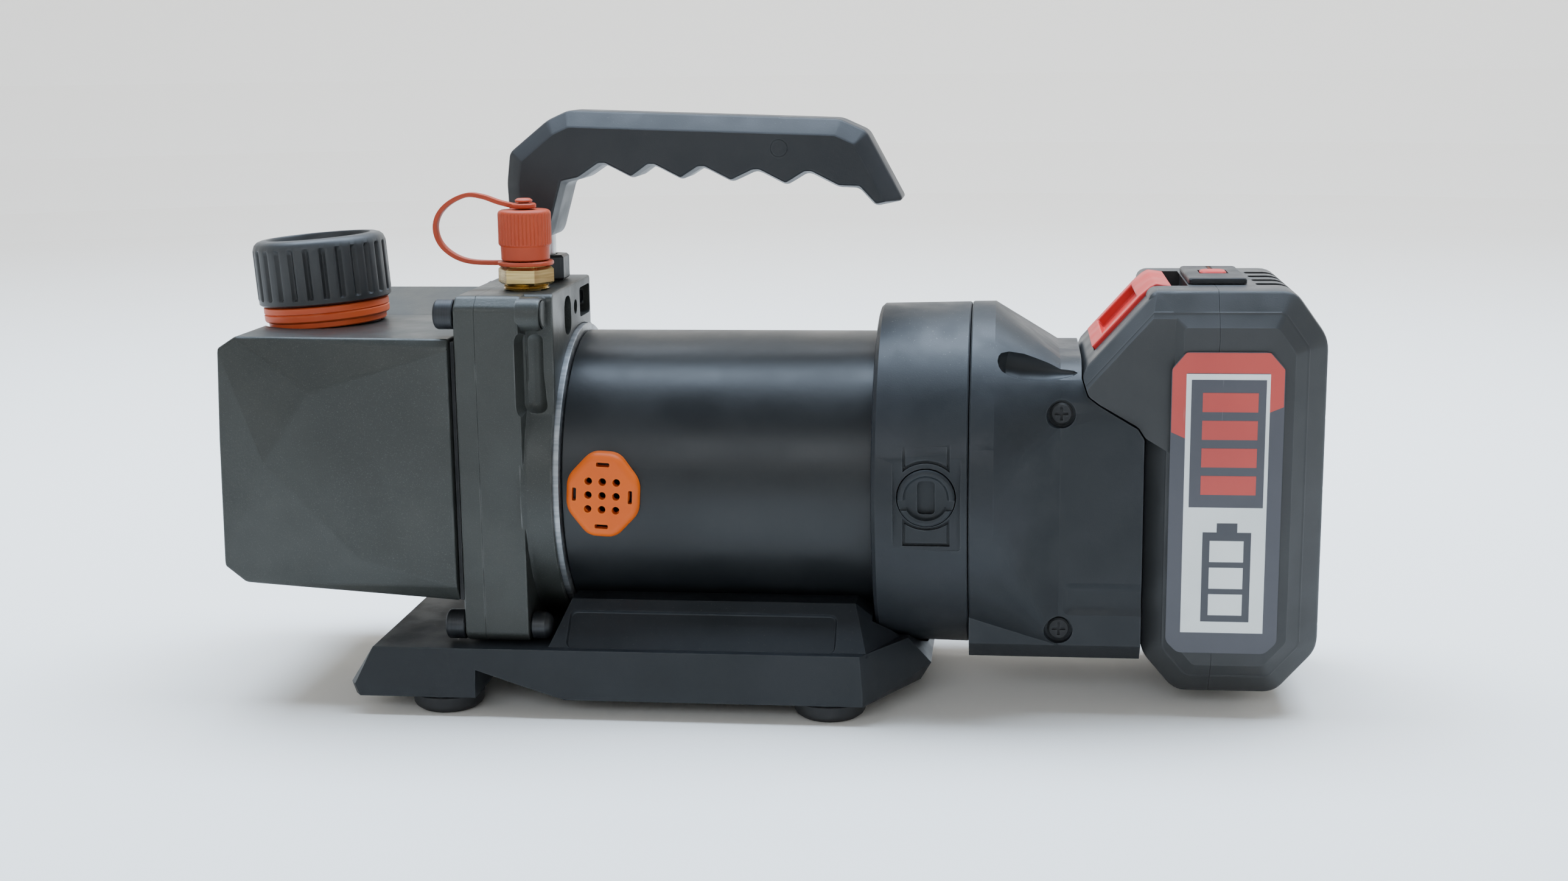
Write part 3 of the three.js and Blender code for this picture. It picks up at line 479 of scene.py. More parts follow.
def make_metals():
    turned_metal("machined_metal", (0.22, 0.23, 0.24), (0.32, 0.33, 0.34), 0.48, (60, 900, 900))
    turned_metal("steel", (0.42, 0.43, 0.44), (0.60, 0.61, 0.62), 0.30)
    turned_metal("black_steel", (0.010, 0.011, 0.013), (0.018, 0.019, 0.021), 0.45, metallic=0.3,
                 tarnish=(0.03, 0.03, 0.03))
    turned_metal("brass", (0.50, 0.36, 0.14), (0.68, 0.52, 0.24), 0.30, (70, 70, 1800),
                 tarnish=(0.30, 0.20, 0.08))
    turned_metal("copper_winding", (0.38, 0.13, 0.04), (0.60, 0.24, 0.09), 0.35, (1400, 50, 50))


def make_prints():
    printed("label_film", (0.036, 0.037, 0.048), (0.043, 0.043, 0.055))
    printed("label_red", (0.40, 0.032, 0.024), (0.45, 0.042, 0.030))
    printed("label_white", (0.62, 0.65, 0.64), (0.70, 0.73, 0.72))
    printed("label_ink", (0.022, 0.023, 0.031), (0.028, 0.029, 0.038))


def oil_fill():
    f = Finish("oil", 0.12, 0.0)
    f.colour(f.mix(f.noise(40, 3), (0.42, 0.20, 0.03), (0.62, 0.34, 0.07)))


painted_casting()
powder_coat()
make_plastics()
make_metals()
clear_glass()
make_prints()
oil_fill()


# ---- camera, floor and light

SENSOR, LENS = 36.0, 46.31
CAMERA_PLACE = (0.07176, -0.5888, 0.18412)
# Degrees turned to the left, tipped down and leaned over.
CAMERA_TURNS = (6.58, 10.8, -0.68)


def add_camera():
    """The viewer stands in front of the near side, a little to the battery's end, and looks down at it."""
    data = bpy.data.cameras.new("camera")
    data.sensor_width = SENSOR
    data.lens = LENS
    camera = add_object("camera", data)
    yaw, pitch, roll = (math.radians(turn) for turn in CAMERA_TURNS)
    forward = Vector((-math.sin(yaw) * math.cos(pitch), math.cos(yaw) * math.cos(pitch), -math.sin(pitch)))
    level = Vector((math.cos(yaw), math.sin(yaw), 0))
    up = level.cross(forward)
    right = level * math.cos(roll) + up * math.sin(roll)
    up = up * math.cos(roll) - level * math.sin(roll)
    turn = Matrix((right, up, -forward)).transposed().to_4x4()
    camera.matrix_world = Matrix.Translation(CAMERA_PLACE) @ turn
    bpy.context.scene.camera = camera


def add_area_light(name, place, target, width, depth, power, tint=(1, 1, 1)):
    data = bpy.data.lights.new(name, "AREA")
    data.shape = "RECTANGLE"
    data.size, data.size_y = width, depth
    data.energy = power
    data.color = tint
    light = add_object(name, data)
    light.location = place
    light.rotation_euler = (Vector(target) - Vector(place)).to_track_quat("-Z", "Y").to_euler()


def add_floor():
    """A pale floor that curves up into a wall all round."""
    flat, curve, top, thick = 1700, 900, 2201, 10
    wall = flat + curve
    profile = [(0, 0), (0, flat)]
    for turn in (0.2 * k for k in range(1, 8)):
        profile.append((curve - curve * math.cos(turn), flat + curve * math.sin(turn)))
    profile += [(top, wall), (top, wall + 100), (-thick, wall + 100), (-thick, 0)]
    floor = lathe("floor", profile, "z", (0, 0, -AXIS.z / MM))
    f = Finish("floor_paint", 0.75)
    f.colour(f.mix(f.noise(6, 3), (0.95, 0.92, 0.87), (0.97, 0.94, 0.89)))
    floor.data.materials.append(f.material)


def add_lights():
    world = bpy.data.worlds.new("studio")
    bpy.context.scene.world = world
    world.use_nodes = True
    sky = world.node_tree.nodes["Background"]
    sky.inputs["Color"].default_value = opaque((0.95, 0.97, 1.0))
    sky.inputs["Strength"].default_value = 0.25
    add_area_light("overhead", (0.0, 0.26, 1.1), (0, 0.26, 0), 1.4, 0.68, 48, (0.66, 0.81, 1.0))
    add_area_light("front_fill", (-0.2, -1.7, 0.9), (0, 0, 0.08), 1.6, 0.5, 9, (0.85, 0.92, 1.0))
    add_area_light("backdrop_wash", (0.0, 1.2, 1.7), (0, 2.4, 0.3), 2.4, 0.6, 30)


add_camera()
add_floor()
add_lights()


# ---- carried-over CAD nodes

for node, obj in frame["nodes"].items():
    obj.data.materials.clear()
    obj.data.materials.append(LOOKS[SLOT_OF[node]])


# ---- oil tank, fill cap, sight glass, drain

FILLER = Matrix.Translation((-77, -5, 44.3)) @ turn_about("Y", -4)
DRAIN_X = -82
GLASS = (0, 0, -1)
TANK_FACE = -99.7


def fluted(name, rows, flutes, depth, axis_place, segments_per_flute=10):
    """A body turned about Z with flutes down its side: rows are (height, radius, how deep the flutes are)."""
    bm = bmesh.new()
    count = flutes * segments_per_flute
    rings = []
    for height, radius, share in rows:
        ring = []
        for k in range(count if radius > 0 else 1):
            angle = 2 * math.pi * k / count
            groove = max(0.0, (math.cos(flutes * angle) - 0.25) / 0.75) ** 0.8
            reach = radius - depth * share * groove
            ring.append(bm.verts.new((reach * math.cos(angle), reach * math.sin(angle), height)))
        rings.append(ring)
    skin_all(bm, rings)
    return move(as_object(name, bm), axis_place)


def make_tank():
    top, right, near = 45, -29.2, -46
    facets = [
        (-92.4, -41, top), (right, -44.5, top), (-98.4, -40, 41.3), (-70, near, 29.6), (right, near, 42.4),
        (-84.6, -45.2, 9), (-57, near, -19), (right, near, -26), (-99.2, -40.5, 15), (TANK_FACE, -41, -22.3),
        (-93.3, -41.5, -27.1), (right, -42.5, -31),
    ]
    tank = hull("tank_casting", both_sides(facets))
    ridge_shape = [(8, top), (8, 38), (38, 50.5), (43.8, top), (43.8, 38)]
    ridge = hull("far_ridge", [(x, y, z) for x in (-90, -34.5) for y, z in ridge_shape])
    bevel(tank, 0.7, angle=4)
    bevel(ridge, 0.8, angle=20)
    boss_profile = [(-31.5, 0), (-31.5, 8.2), (-30.7, 9), (-22, 10), (-22, 0)]
    boss = lathe("drain_boss", boss_profile, "z", (DRAIN_X, 0, 0))
    join(tank, ridge, boss)
    room_corners = [(-95.8, -36.5, -20), (-94.8, -36, 38), (right + 1, -38.5, -26), (right + 1, -38.5, 40.5)]
    room = hull("oil_room", both_sides(room_corners))
    seat = move(rod("cap_seat", "z", 0, 14, 19.4), FILLER)
    neck_hole = move(rod("neck_hole", "z", -14, 1, 15.9), FILLER)
    glass_hole = rod("glass_hole", "x", TANK_FACE - 1, -94, 9.6, GLASS)
    drain_hole = rod("drain_hole", "z", -33, -15, 4.6, (DRAIN_X, 0, 0), 32)
    cut(tank, room, seat, neck_hole, glass_hole, drain_hole)
    show(tank, "oil_tank", sharp=25)


def make_fill_cap():
    radius, bottom, top, wall = 19.6, 7.0, 26.2, 16.1
    rows = [
        (top - 6, 0, 0), (top - 6, wall, 0), (bottom, wall, 0), (bottom, radius - 0.8, 0),
        (bottom + 0.5, radius - 0.15, 0), (bottom + 1.7, radius - 0.15, 0), (bottom + 2.3, radius, 1),
        (top - 4.0, radius, 1), (top - 3.0, radius - 0.05, 0.75), (top - 2.4, radius - 0.15, 0),
        (top - 1.2, radius - 0.6, 0), (top - 0.4, radius - 1.5, 0), (top, radius - 2.8, 0),
        (top, radius - 4.2, 0), (top - 0.5, radius - 4.6, 0), (top - 2.2, radius - 4.9, 0),
        (top - 2.2, 9.5, 0), (top - 1.5, 9.0, 0), (top - 1.5, 7.2, 0), (top - 2.2, 6.7, 0), (top - 2.2, 0, 0),
    ]
    cap = fluted("fill_cap_shell", rows, 26, 1.15, FILLER)
    show(cap, "oil_fill_cap", look="case_plastic", sharp=40)


def make_cap_seal():
    profile = [
        (0.3, 15.8), (0.3, 17.0), (0.6, 17.3), (1.9, 17.4), (2.2, 18.1), (2.6, 18.4), (4.2, 18.45),
        (4.5, 18.0), (4.8, 18.45), (6.3, 18.4), (6.6, 18.0), (6.7, 17.4), (6.7, 15.8),
    ]
    show(move(lathe("fill_cap_seal", profile, "z"), FILLER), "cap_seal_ring")


def make_filler_neck():
    neck = [(-7, 12), (-7, 15.5)]
    for turn in range(5):
        neck += [(1.5 + 2 * turn, 15.5), (2 + 2 * turn, 14.8), (2.6 + 2 * turn, 14.8), (3.1 + 2 * turn, 15.5)]
    neck += [(12, 15.2), (12, 14.3), (-6, 12)]
    show(move(lathe("threaded_neck", neck, "z"), FILLER), "filler_neck")


def make_sight_glass():
    face = TANK_FACE - 0.3
    lens = [(face, 0), (face, 8.6), (face + 0.5, 9.2), (-96.6, 9.2), (-96.6, 0)]
    show(lathe("sight_lens", lens, "x", GLASS), "sight_glass")
    bezel = [
        (face - 1.4, 7.8), (face - 1.5, 8.6), (face - 1.4, 10.2), (face - 0.9, 11), (face, 12.4), (face, 9.8),
        (face - 0.4, 7.6), (face - 1.0, 7.5),
    ]
    show(lathe("sight_bezel_ring", bezel, "x", GLASS), "sight_glass_bezel")
    back = rod("sight_back_plate", "x", -96.4, -95.4, 9.0, GLASS)
    show(back, "oil_tank", "glass", "label_white", stands_for=False)
    level = [(y, z - 1.6) for y, z in circle(8.6) if z < 0.6]
    oil = prism("sight_oil_level", level, "x", -96.5, -96.42)
    show(oil, "oil_tank", "glass", "oil", stands_for=False)


def make_drain():
    washer = [(-32.8, 4.8), (-32.8, 6.9), (-32.5, 7.2), (-32.1, 7.2), (-31.8, 6.9), (-31.8, 4.8)]
    show(lathe("drain_washer", washer, "z", (DRAIN_X, 0, 0), 48), "drain_seal")
    top = -33.1
    sections = [(top - 3.4, 6.6), (top - 2.8, 7.4), (top - 0.4, 7.4), (top, 7.0)]
    head = loft("drain_plug_hex", [(z, hexagon(reach)) for z, reach in sections], "z")
    shank = [(top - 0.1, 0), (top - 0.1, 4.2)]
    for turn in range(5):
        shank += [(top + 1.2 + 1.3 * turn, 4.2), (top + 1.8 + 1.3 * turn, 3.7)]
    shank += [(top + 7.6, 3.8), (top + 8, 3.4), (top + 8, 0)]
    socket = prism("drain_socket", hexagon(2.6), "z", top - 4, top - 1.6)
    plug = cut(join(head, lathe("drain_shank", shank, "z", segments=40)), socket)
    show(move(plug, Matrix.Translation((DRAIN_X, 0, 0))), "drain_plug")


# ---- pump body and its screws

BODY_BOTTOM, BODY_TOP, PARTING = -42.5, 56.8, -21.5
FLANGE_RIGHT, COLLAR_END, LIP_NEAR = -8.8, -0.9, -37
FLANGE = [(-41.7, BODY_TOP), (-45, 53.5), (-45, BODY_BOTTOM + 2), (-43, BODY_BOTTOM), (43, BODY_BOTTOM),
          (45, BODY_BOTTOM + 2), (45, 28), (20, BODY_TOP)]
SCREWS = [(-40.5, 51.5), (17, 50.2), (-40.5, -38.4), (40.5, -38.4)]
FITTING = (-10.9, -25)
STUD_X = -11.5


def screw_holes(radius, start, end):
    return [rod("screw_hole", "x", start, end, radius, (0, y, z), 40) for y, z in SCREWS]


def make_cover_plate():
    sections = [(-27.6, 0.9), (-27.3, 0.3), (-26.6, 0), (PARTING - 0.25, 0), (PARTING - 0.03, 0.12)]
    plate = slab("cover_plate_casting", FLANGE, "x", sections, 1.2)
    shaft = rod("shaft_hole", "x", -28, -21, 5.5)
    show(cut(plate, shaft, *screw_holes(3, -28, -21)), "body_cover_plate")


def body_outside(start):
    """The rectangular flange, the round collar that takes the motor, and the thick lip above it."""
    flange_edge = [
        (start, 0.12), (start + 0.22, 0), (FLANGE_RIGHT - 0.9, 0), (FLANGE_RIGHT - 0.3, 0.25),
        (FLANGE_RIGHT, 0.9),
    ]
    body = slab("pump_body_casting", FLANGE, "x", flange_edge, 1.2)
    collar_profile = [
        (FLANGE_RIGHT - 1, 0), (FLANGE_RIGHT - 1, 46), (FLANGE_RIGHT + 0.2, 45.2), (FLANGE_RIGHT + 1.2, 44.8),
        (COLLAR_END - 0.3, 44.8), (COLLAR_END, 44.5), (COLLAR_END, 0),
    ]
    collar = lathe("collar", collar_profile, "x", segments=160)
    lip_corners = [
        (LIP_NEAR - 1.9, 21), (15, 21), (15, BODY_TOP), (LIP_NEAR + 1.5, BODY_TOP),
        (LIP_NEAR, BODY_TOP - 1.5), (LIP_NEAR, 33), (LIP_NEAR - 0.6, 27),
    ]
    lip_edge = [(FLANGE_RIGHT - 1, 0), (COLLAR_END - 0.8, 0), (COLLAR_END - 0.2, 0.25), (COLLAR_END, 0.8)]
    lip = slab("upper_lip", lip_corners, "x", lip_edge, 1.0)
    dome_profile = [
        (FLANGE_RIGHT - 1, 0), (FLANGE_RIGHT - 1, 4.8), (-4.2, 4.8), (-3.3, 4.4), (-2.6, 3.4), (-2.6, 0),
    ]
    dome = lathe("screw_boss", dome_profile, "x", (0, *SCREWS[0]), 64)
    web = slab("screw_web", rectangle(LIP_NEAR - 1, 47, LIP_NEAR + 1, 56), "x",
               [(FLANGE_RIGHT - 1, 0), (-3.4, 0), (-2.8, 0.4)], 0.6)
    return join(body, collar, lip, dome, web)


def near_groove():
    """The groove down the near side, between the flange and the lip, with soft edges."""
    depths = [
        (-46, -1.6), (LIP_NEAR - 1.2, -0.6), (LIP_NEAR - 0.2, 0.3), (LIP_NEAR + 0.4, 1.3),
        (LIP_NEAR + 0.6, 2.2),
    ]
    return slab("near_groove", rectangle(FLANGE_RIGHT, 23.6, -3.2, 46), "y", depths, 2.6)


def make_pump_body():
    start, outside = PARTING + 0.03, COLLAR_END + 1
    fitting_hole = [(46, 0), (46, 5.4), (56.2, 5.4), (58, 7.2), (58, 0)]
    body = body_outside(start)
    tools = [
        rod("ring_seat", "x", COLLAR_END - 1.7, 3, 43.8, segments=160),
        near_groove(),
        rod("coupling_room", "x", -14, 3, 18),
        rod("shaft_room", "x", start - 1, -13, 8.3),
        prism("tall_slot", rounded(rectangle(-21.6, 42.6, -12.6, 54), 4.4), "x", -7.5, outside),
        prism("port_hole", circle(2.2, 32, (-6.5, 49.5)), "x", -7.5, outside),
        prism("pocket", rounded(rectangle(-0.6, 45.6, 13.4, 54.4), 1.5), "x", -7.5, outside),
        lathe("fitting_hole", fitting_hole, "z", (*FITTING, 0), 40),
        rod("stud_hole", "z", 49, 58, 4.1, (STUD_X, 0, 0), 40),
        *screw_holes(3, start - 1, -8),
        *screw_holes(4.1, FLANGE_RIGHT, -2.9),
    ]
    show(cut(body, *tools), "pump_body", sharp=28)


def make_screws():
    head = -27.9
    profile = [
        (head - 5.6, 0), (head - 5.6, 3.5), (head - 5.3, 3.95), (head - 4.7, 4.25), (head - 0.3, 4.25),
        (head, 4.0), (head, 2.6), (-8.4, 2.6), (-8.4, 3.6), (-8.1, 3.9), (-4.6, 3.9), (-3.5, 3.2),
        (-2.9, 2.2), (-2.9, 0),
    ]
    for number, (y, z) in enumerate(SCREWS, 1):
        screw = lathe(f"socket_screw_{number}", profile, "x", (0, y, z), 48)
        socket = [(y + u, z + v) for u, v in hexagon(2.3)]
        show(cut(screw, prism("hex_socket", socket, "x", head - 6, head - 2.6)), f"body_screw_{number}")


# ---- inlet fitting, its cap and tether

def make_fitting():
    top, thread = 76, 5.6
    profile = [(47, 0), (47, 5), (56.9, 5), (57.1, 6.4)]
    for turn in range(2):
        profile += [(57.3 + 0.7 * turn, 6.5), (57.6 + 0.7 * turn, 6.0)]
    profile += [(58.5, 6.5), (58.6, 0)]
    lower = lathe("fitting_lower", profile, "z", segments=48)
    sections = [(58.4, 7.3), (59.1, 8.1), (62.7, 8.1), (63.4, 7.4)]
    hexagon_part = loft("fitting_hex", [(z, hexagon(reach)) for z, reach in sections], "z")
    upper = [(63.3, 0), (63.3, thread)]
    for turn in range(9):
        upper += [(64.2 + 1.2 * turn, thread), (64.7 + 1.2 * turn, thread - 0.5)]
    upper += [(top - 1, thread - 0.3), (top, 4.2), (top, 0)]
    fitting = join(hexagon_part, lower, lathe("fitting_upper", upper, "z", segments=48))
    cut(fitting, rod("fitting_bore", "z", 46, 77, 2.8, segments=40))
    show(move(fitting, Matrix.Translation((*FITTING, 0))), "inlet_fitting", sharp=28)


def make_inlet_cap():
    rows = [
        (77, 0, 0), (77, 6.0, 0), (65.3, 6.0, 0), (65.3, 6.6, 0), (65.6, 6.9, 0), (69.2, 7.0, 0),
        (69.7, 7.45, 0), (70.1, 7.55, 1), (78.2, 7.55, 1), (78.7, 7.5, 0), (79.2, 7.2, 0), (79.5, 6.6, 0),
        (79.5, 1.5, 0), (81.5, 1.5, 0), (81.7, 2.4, 0), (82.2, 2.5, 0), (82.7, 1.8, 0), (82.8, 0, 0),
    ]
    cap = fluted("ribbed_inlet_cap", rows, 40, 0.28, Matrix.Translation((*FITTING, 0)), 6)
    show(cap, "inlet_cap", sharp=40)


def spline(points, steps):
    """A smooth curve through the points, as a list of points."""
    curve = []
    padded = [points[0]] + points + [points[-1]]
    for p0, p1, p2, p3 in zip(padded, padded[1:], padded[2:], padded[3:]):
        for k in range(steps):
            t = k / steps
            curve.append(0.5 * (2 * p1 + (p2 - p0) * t + (2 * p0 - 5 * p1 + 4 * p2 - p3) * t * t
                                + (3 * p1 - p0 - 3 * p2 + p3) * t ** 3))
    return curve + [points[-1]]


def tether_loop():
    """The flat strap between the cap's knob and the fitting's neck, as a curve in the plane of Y."""
    route = [
        (-13.6, 80.5), (-18, 81.6), (-22.7, 83.2), (-27.2, 83.7), (-32, 81.8), (-35.4, 78.7), (-36.8, 75),
        (-36.2, 71.2), (-34, 68.1), (-30.2, 65.7), (-25.5, 64.6), (-17.5, 64.4),
    ]
    line = spline([Vector(point) for point in route], 8)
    section = rounded(rectangle(-0.65, -1.5, 0.65, 1.5), 0.35, 2)
    bm = bmesh.new()
    rings = []
    for i, point in enumerate(line):
        along = (line[min(i + 1, len(line) - 1)] - line[max(i - 1, 0)]).normalized()
        out = Vector((-along.y, along.x))
        ring = []
        for u, v in section:
            ring.append(bm.verts.new((point.x + out.x * u, FITTING[1] + v, point.y + out.y * u)))
        rings.append(ring)
    skin_all(bm, rings, capped=True)
    return as_object("tether_strap", bm)


def make_tether():
    """The moulded strap, with an eye on the cap's knob and a collar on the fitting."""
    strap = tether_loop()
    eye = [(79.9, 1.9), (79.9, 3.2), (80.2, 3.5), (81.0, 3.5), (81.3, 3.2), (81.3, 1.9)]
    collar = [(63.8, 5.95), (63.8, 7.7), (64.1, 8), (64.7, 8), (65, 7.7), (65, 5.95)]
    join(strap, lathe("eye", eye, "z", (*FITTING, 0), 48), lathe("collar", collar, "z", (*FITTING, 0), 64))
    strap.data.materials.append(LOOKS["orange_soft"])
    strap.data.shade_smooth()
    strap.data.set_sharp_from_angle(angle=math.radians(40))
    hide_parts("cap_tether")
    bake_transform(strap)


# ---- handle

def make_handle():
    """The grip's side edges have wide chamfers along the top and narrow ones along the teeth."""
    half = 12
    top = [
        (-19.4, 70), (-20, 86), (-18.9, 94.8), (-7.5, 104), (-1.2, 106.8), (77.7, 103.8), (85.6, 100.2),
        (96.2, 80.5),
    ]
    valleys = [(9.2, 91), (23.6, 90.6), (38.2, 89.9), (54, 88.9), (69, 88.3)]
    teeth = []
    for x, z in reversed(valleys):
        teeth += [(x + 8.6, z - 4.0), (x + 0.8, z), (x - 0.8, z)]
    bottom = [(88.2, 78.9), (83.4, 84.1), *teeth, (2.4, 87), (-2.3, 86), (-6.4, 71.5), (-8, 70)]
    edge = []
    for depth, upper, lower in [(0, 4.8, 1.3), (0.4, 4.2, 0.8), (4.0, 0.5, 0.2), (4.7, 0.1, 0), (5.6, 0, 0)]:
        edge.append((depth, [upper] * (len(top) - 1) + [lower] * (len(bottom) + 1)))
    grip = stepped("handle_moulding", top + bottom, "y", edge, -half, half, 1.5, 4)
    mark_profile = [(-half - 1, 2.25), (-half - 1, 2.6), (-half + 0.25, 2.6), (-half + 0.25, 2.25)]
    mark = lathe("ejector_mark", mark_profile, "y", (60.8, 0, 95.7), 48)
    stud_hole = rod("stud_room", "z", 60, 78, 4.1, (STUD_X, 0, 0), 40)
    show(cut(grip, mark, stud_hole), "handle_grip", sharp=24)


def make_handle_stud():
    bar = [(49.5, 0), (49.5, 3.4), (49.9, 3.8), (77.1, 3.8), (77.5, 3.4), (77.5, 0)]
    show(lathe("stud_bar", bar, "z", (STUD_X, 0, 0), 48), "handle_stud")
    low = BODY_TOP + 0.3
    sections = [(low, 7.3), (low + 0.6, 7.9), (63.8, 7.9), (64.5, 7.1)]
    nut = loft("stud_nut", [(z, hexagon(reach, math.pi / 6)) for z, reach in sections], "z")
    bore = rod("nut_bore", "z", 50, 66, 4.2, segments=40)
    show(move(cut(nut, bore), Matrix.Translation((STUD_X, 0, 0))), "handle_nut")


# ---- motor

TUBE = 41.5
VENT = (13.2, 0, 0.6)


def make_motor():
    shield = [
        (-2.3, 6), (-2.3, 42.7), (-1.7, 43.5), (0.3, 43.5), (0.6, 43.35), (0.7, 43.0), (0.7, 39.2), (5, 39.2),
        (5, 37), (2, 37), (2, 14.5), (8.6, 14.5), (8.6, 11.3), (1.4, 11.3), (1.4, 6),
    ]
    show(lathe("front_shield_casting", shield, "x", segments=160), "motor_front_shield")
    wall = [(1, TUBE - 2), (1, TUBE - 0.4), (1.4, TUBE), (91.6, TUBE), (92, TUBE - 0.4), (92, TUBE - 2)]
    tube = lathe("motor_tube_shell", wall, "x", segments=160)
    show(cut(tube, rod("vent_room", "y", -50, -30, 8, VENT)), "motor_tube")


def make_vent():
    """Octagonal push-in grille. Its rounded face stands off the tube."""
    wide, tall, corner_x, corner_z = 10.5, 12.1, 4.0, 4.6
    octagon = [
        (-corner_x, -tall), (corner_x, -tall), (wide, -corner_z), (wide, corner_z), (corner_x, tall),
        (-corner_x, tall), (-wide, corner_z), (-wide, -corner_z),
    ]
    crown = [(-43.9, 2.2), (-43.75, 1.4), (-43.3, 0.7), (-42.7, 0.2), (-42.0, 0), (-38.4, 0)]
    plate = slab("vent_plate", octagon, "y", crown, 2.6)
    tube = rod("tube_side", "x", -15, 15, TUBE + 0.3, (0, 0, -VENT[2]), 160)
    hole = [(-46, 0), (-46, 1.25), (-43.75, 1.1), (-43.4, 1.0), (-36, 1.0), (-36, 0)]
    holes = [lathe("hole", hole, "y", (x, 0, z), 24) for x in (-4, 0, 4) for z in (-4, 0, 4)]
    flat = rounded(rectangle(-1.9, -0.6, 1.9, 0.6), 0.35, 2)
    slots = [prism("slot", [(x, z + shift) for x, z in flat], "y", -46, -36) for shift in (-8.9, 8.9)]
    slots += [prism("slot", [(z + shift, x) for x, z in flat], "y", -46, -36) for shift in (-8, 8)]
    cut(plate, tube, *holes, *slots)
    spigot = lathe("spigot", [(-42.6, 6.4), (-42.6, 7.6), (-38.6, 7.6), (-38.6, 6.4)], "y", segments=48)
    join(plate, spigot)
    place = Matrix.Translation(VENT) @ turn_about("Y", 3)
    show(move(plate, place), "vent_grille")


# ---- rear cover and brush caps

BRUSH_X, BRUSH_Z = 104.4, 2.2
BRUSH = (BRUSH_X, 0, BRUSH_Z)


def brush_panel_tools():
    """What is cut from the near side of the rear cover: a flat panel, two framed pads and the cap's hole."""
    tools = [prism("panel", rounded(rectangle(95.3, -12.6, 113.8, 18.4), 0.8, 3), "y", -60, -48.4)]
    arch = [(BRUSH_X + x, BRUSH_Z + z) for x, z in arc(9.6, 48, 132, 12)]
    high = [(110.9, 17.0), *arch, (97.9, 17.0)]
    for outline in (high, [(x, 2 * BRUSH_Z - z + 1.2) for x, z in high]):
        pad = prism("pad", inset(outline, 0.8), "y", -61, -40)
        tools.append(cut(prism("frame", outline, "y", -60, -47.2), pad))
        tools.append(prism("pad_face", inset(outline, 0.7), "y", -60, -48.05))
    tools.append(rod("cap_hole", "y", -60, -40, 8.2, BRUSH, 64))
    return tools


def make_rear_cover():
    start, end, radius, inner = 89.1, 115.7, 50, 46.8
    profile = [
        (start, TUBE + 0.3), (start, radius - 2.2), (start + 0.3, radius - 1.2), (start + 1.3, radius - 0.3),
        (end - 0.4, radius + 0.2), (end, radius - 0.1), (end, 12), (121, 12), (121, 5), (119.9, 5),
        (119.9, 9.3), (112.2, 9.3), (112.2, inner), (92.5, inner), (92.5, TUBE + 0.3),
    ]
    cover = lathe("rear_cover_moulding", profile, "x", segments=160)
    near = brush_panel_tools()
    far = [mirror(tool, tool.name + "_far") for tool in near]
    cut(cover, *near, *far)
    show(cover, "rear_cover", sharp=28)


def make_brush_caps():
    """Bayonet caps: a notched rim round a recess with a tall driver slot."""
    profile = [
        (-44.6, 0), (-44.6, 7.4), (-45, 7.9), (-49.0, 7.9), (-49.4, 7.5), (-49.5, 7.0), (-49.4, 6.3),
        (-48.7, 5.9), (-48.3, 5.4), (-48.3, 0),
    ]
    cap = lathe("brush_cap_moulding_near", profile, "y", BRUSH)
    slot = rectangle(BRUSH_X - 2.4, BRUSH_Z - 4.6, BRUSH_X + 2.4, BRUSH_Z + 4.6)
    tools = [prism("driver_slot", rounded(slot, 1.2, 3), "y", -52, -46.6)]
    for side in (-1, 1):
        middle = BRUSH_X + side * 7
        tools.append(block("notch", (middle - 1.6, -52, BRUSH_Z - 3.4), (middle + 1.6, -48.7, BRUSH_Z - 0.6)))
    cut(cap, *tools)
    far = mirror(cap, "brush_cap_moulding_far")
    show(cap, "brush_cap_near", sharp=40)
    show(far, "brush_cap_far", sharp=40)


# ---- battery adapter and switch

NECK_X, TAIL_END, ADAPTER_BOTTOM, ADAPTER_TOP, ADAPTER_SIDE = 141, 164, -47.5, 37.2, 36
STEP = [(146.8, ADAPTER_TOP), (146.7, 32.7), (148.3, 28.0), (151.4, 25.7), (162.1, 19.4), (163.9, 16.5)]
HOUSING_SCREWS = [(141.2, 0, 23.5), (141.2, 0, -38)]


def neck_outline(size=1.0):
    """Flat sides, small lower corners and wide upper corners: (y, z)."""
    middle = (ADAPTER_TOP + ADAPTER_BOTTOM) / 2
    side = [(-ADAPTER_SIDE + 5, ADAPTER_BOTTOM), (-ADAPTER_SIDE, ADAPTER_BOTTOM + 5)]
    side += [(-ADAPTER_SIDE + 18 * (1 - y), ADAPTER_TOP - 17 * (1 - z)) for y, z in arc(1, 0, 90, 8)]
    side = [(y * size, middle + (z - middle) * size) for y, z in side]
    return side + [(-y, z) for y, z in reversed(side)]


def in_neck(name, size, start, end):
    return prism(name, neck_outline(size), "x", start, end)


def drum_ring(x, radius, count=160):
    return [(x, y, z) for y, z in circle(radius, count)]


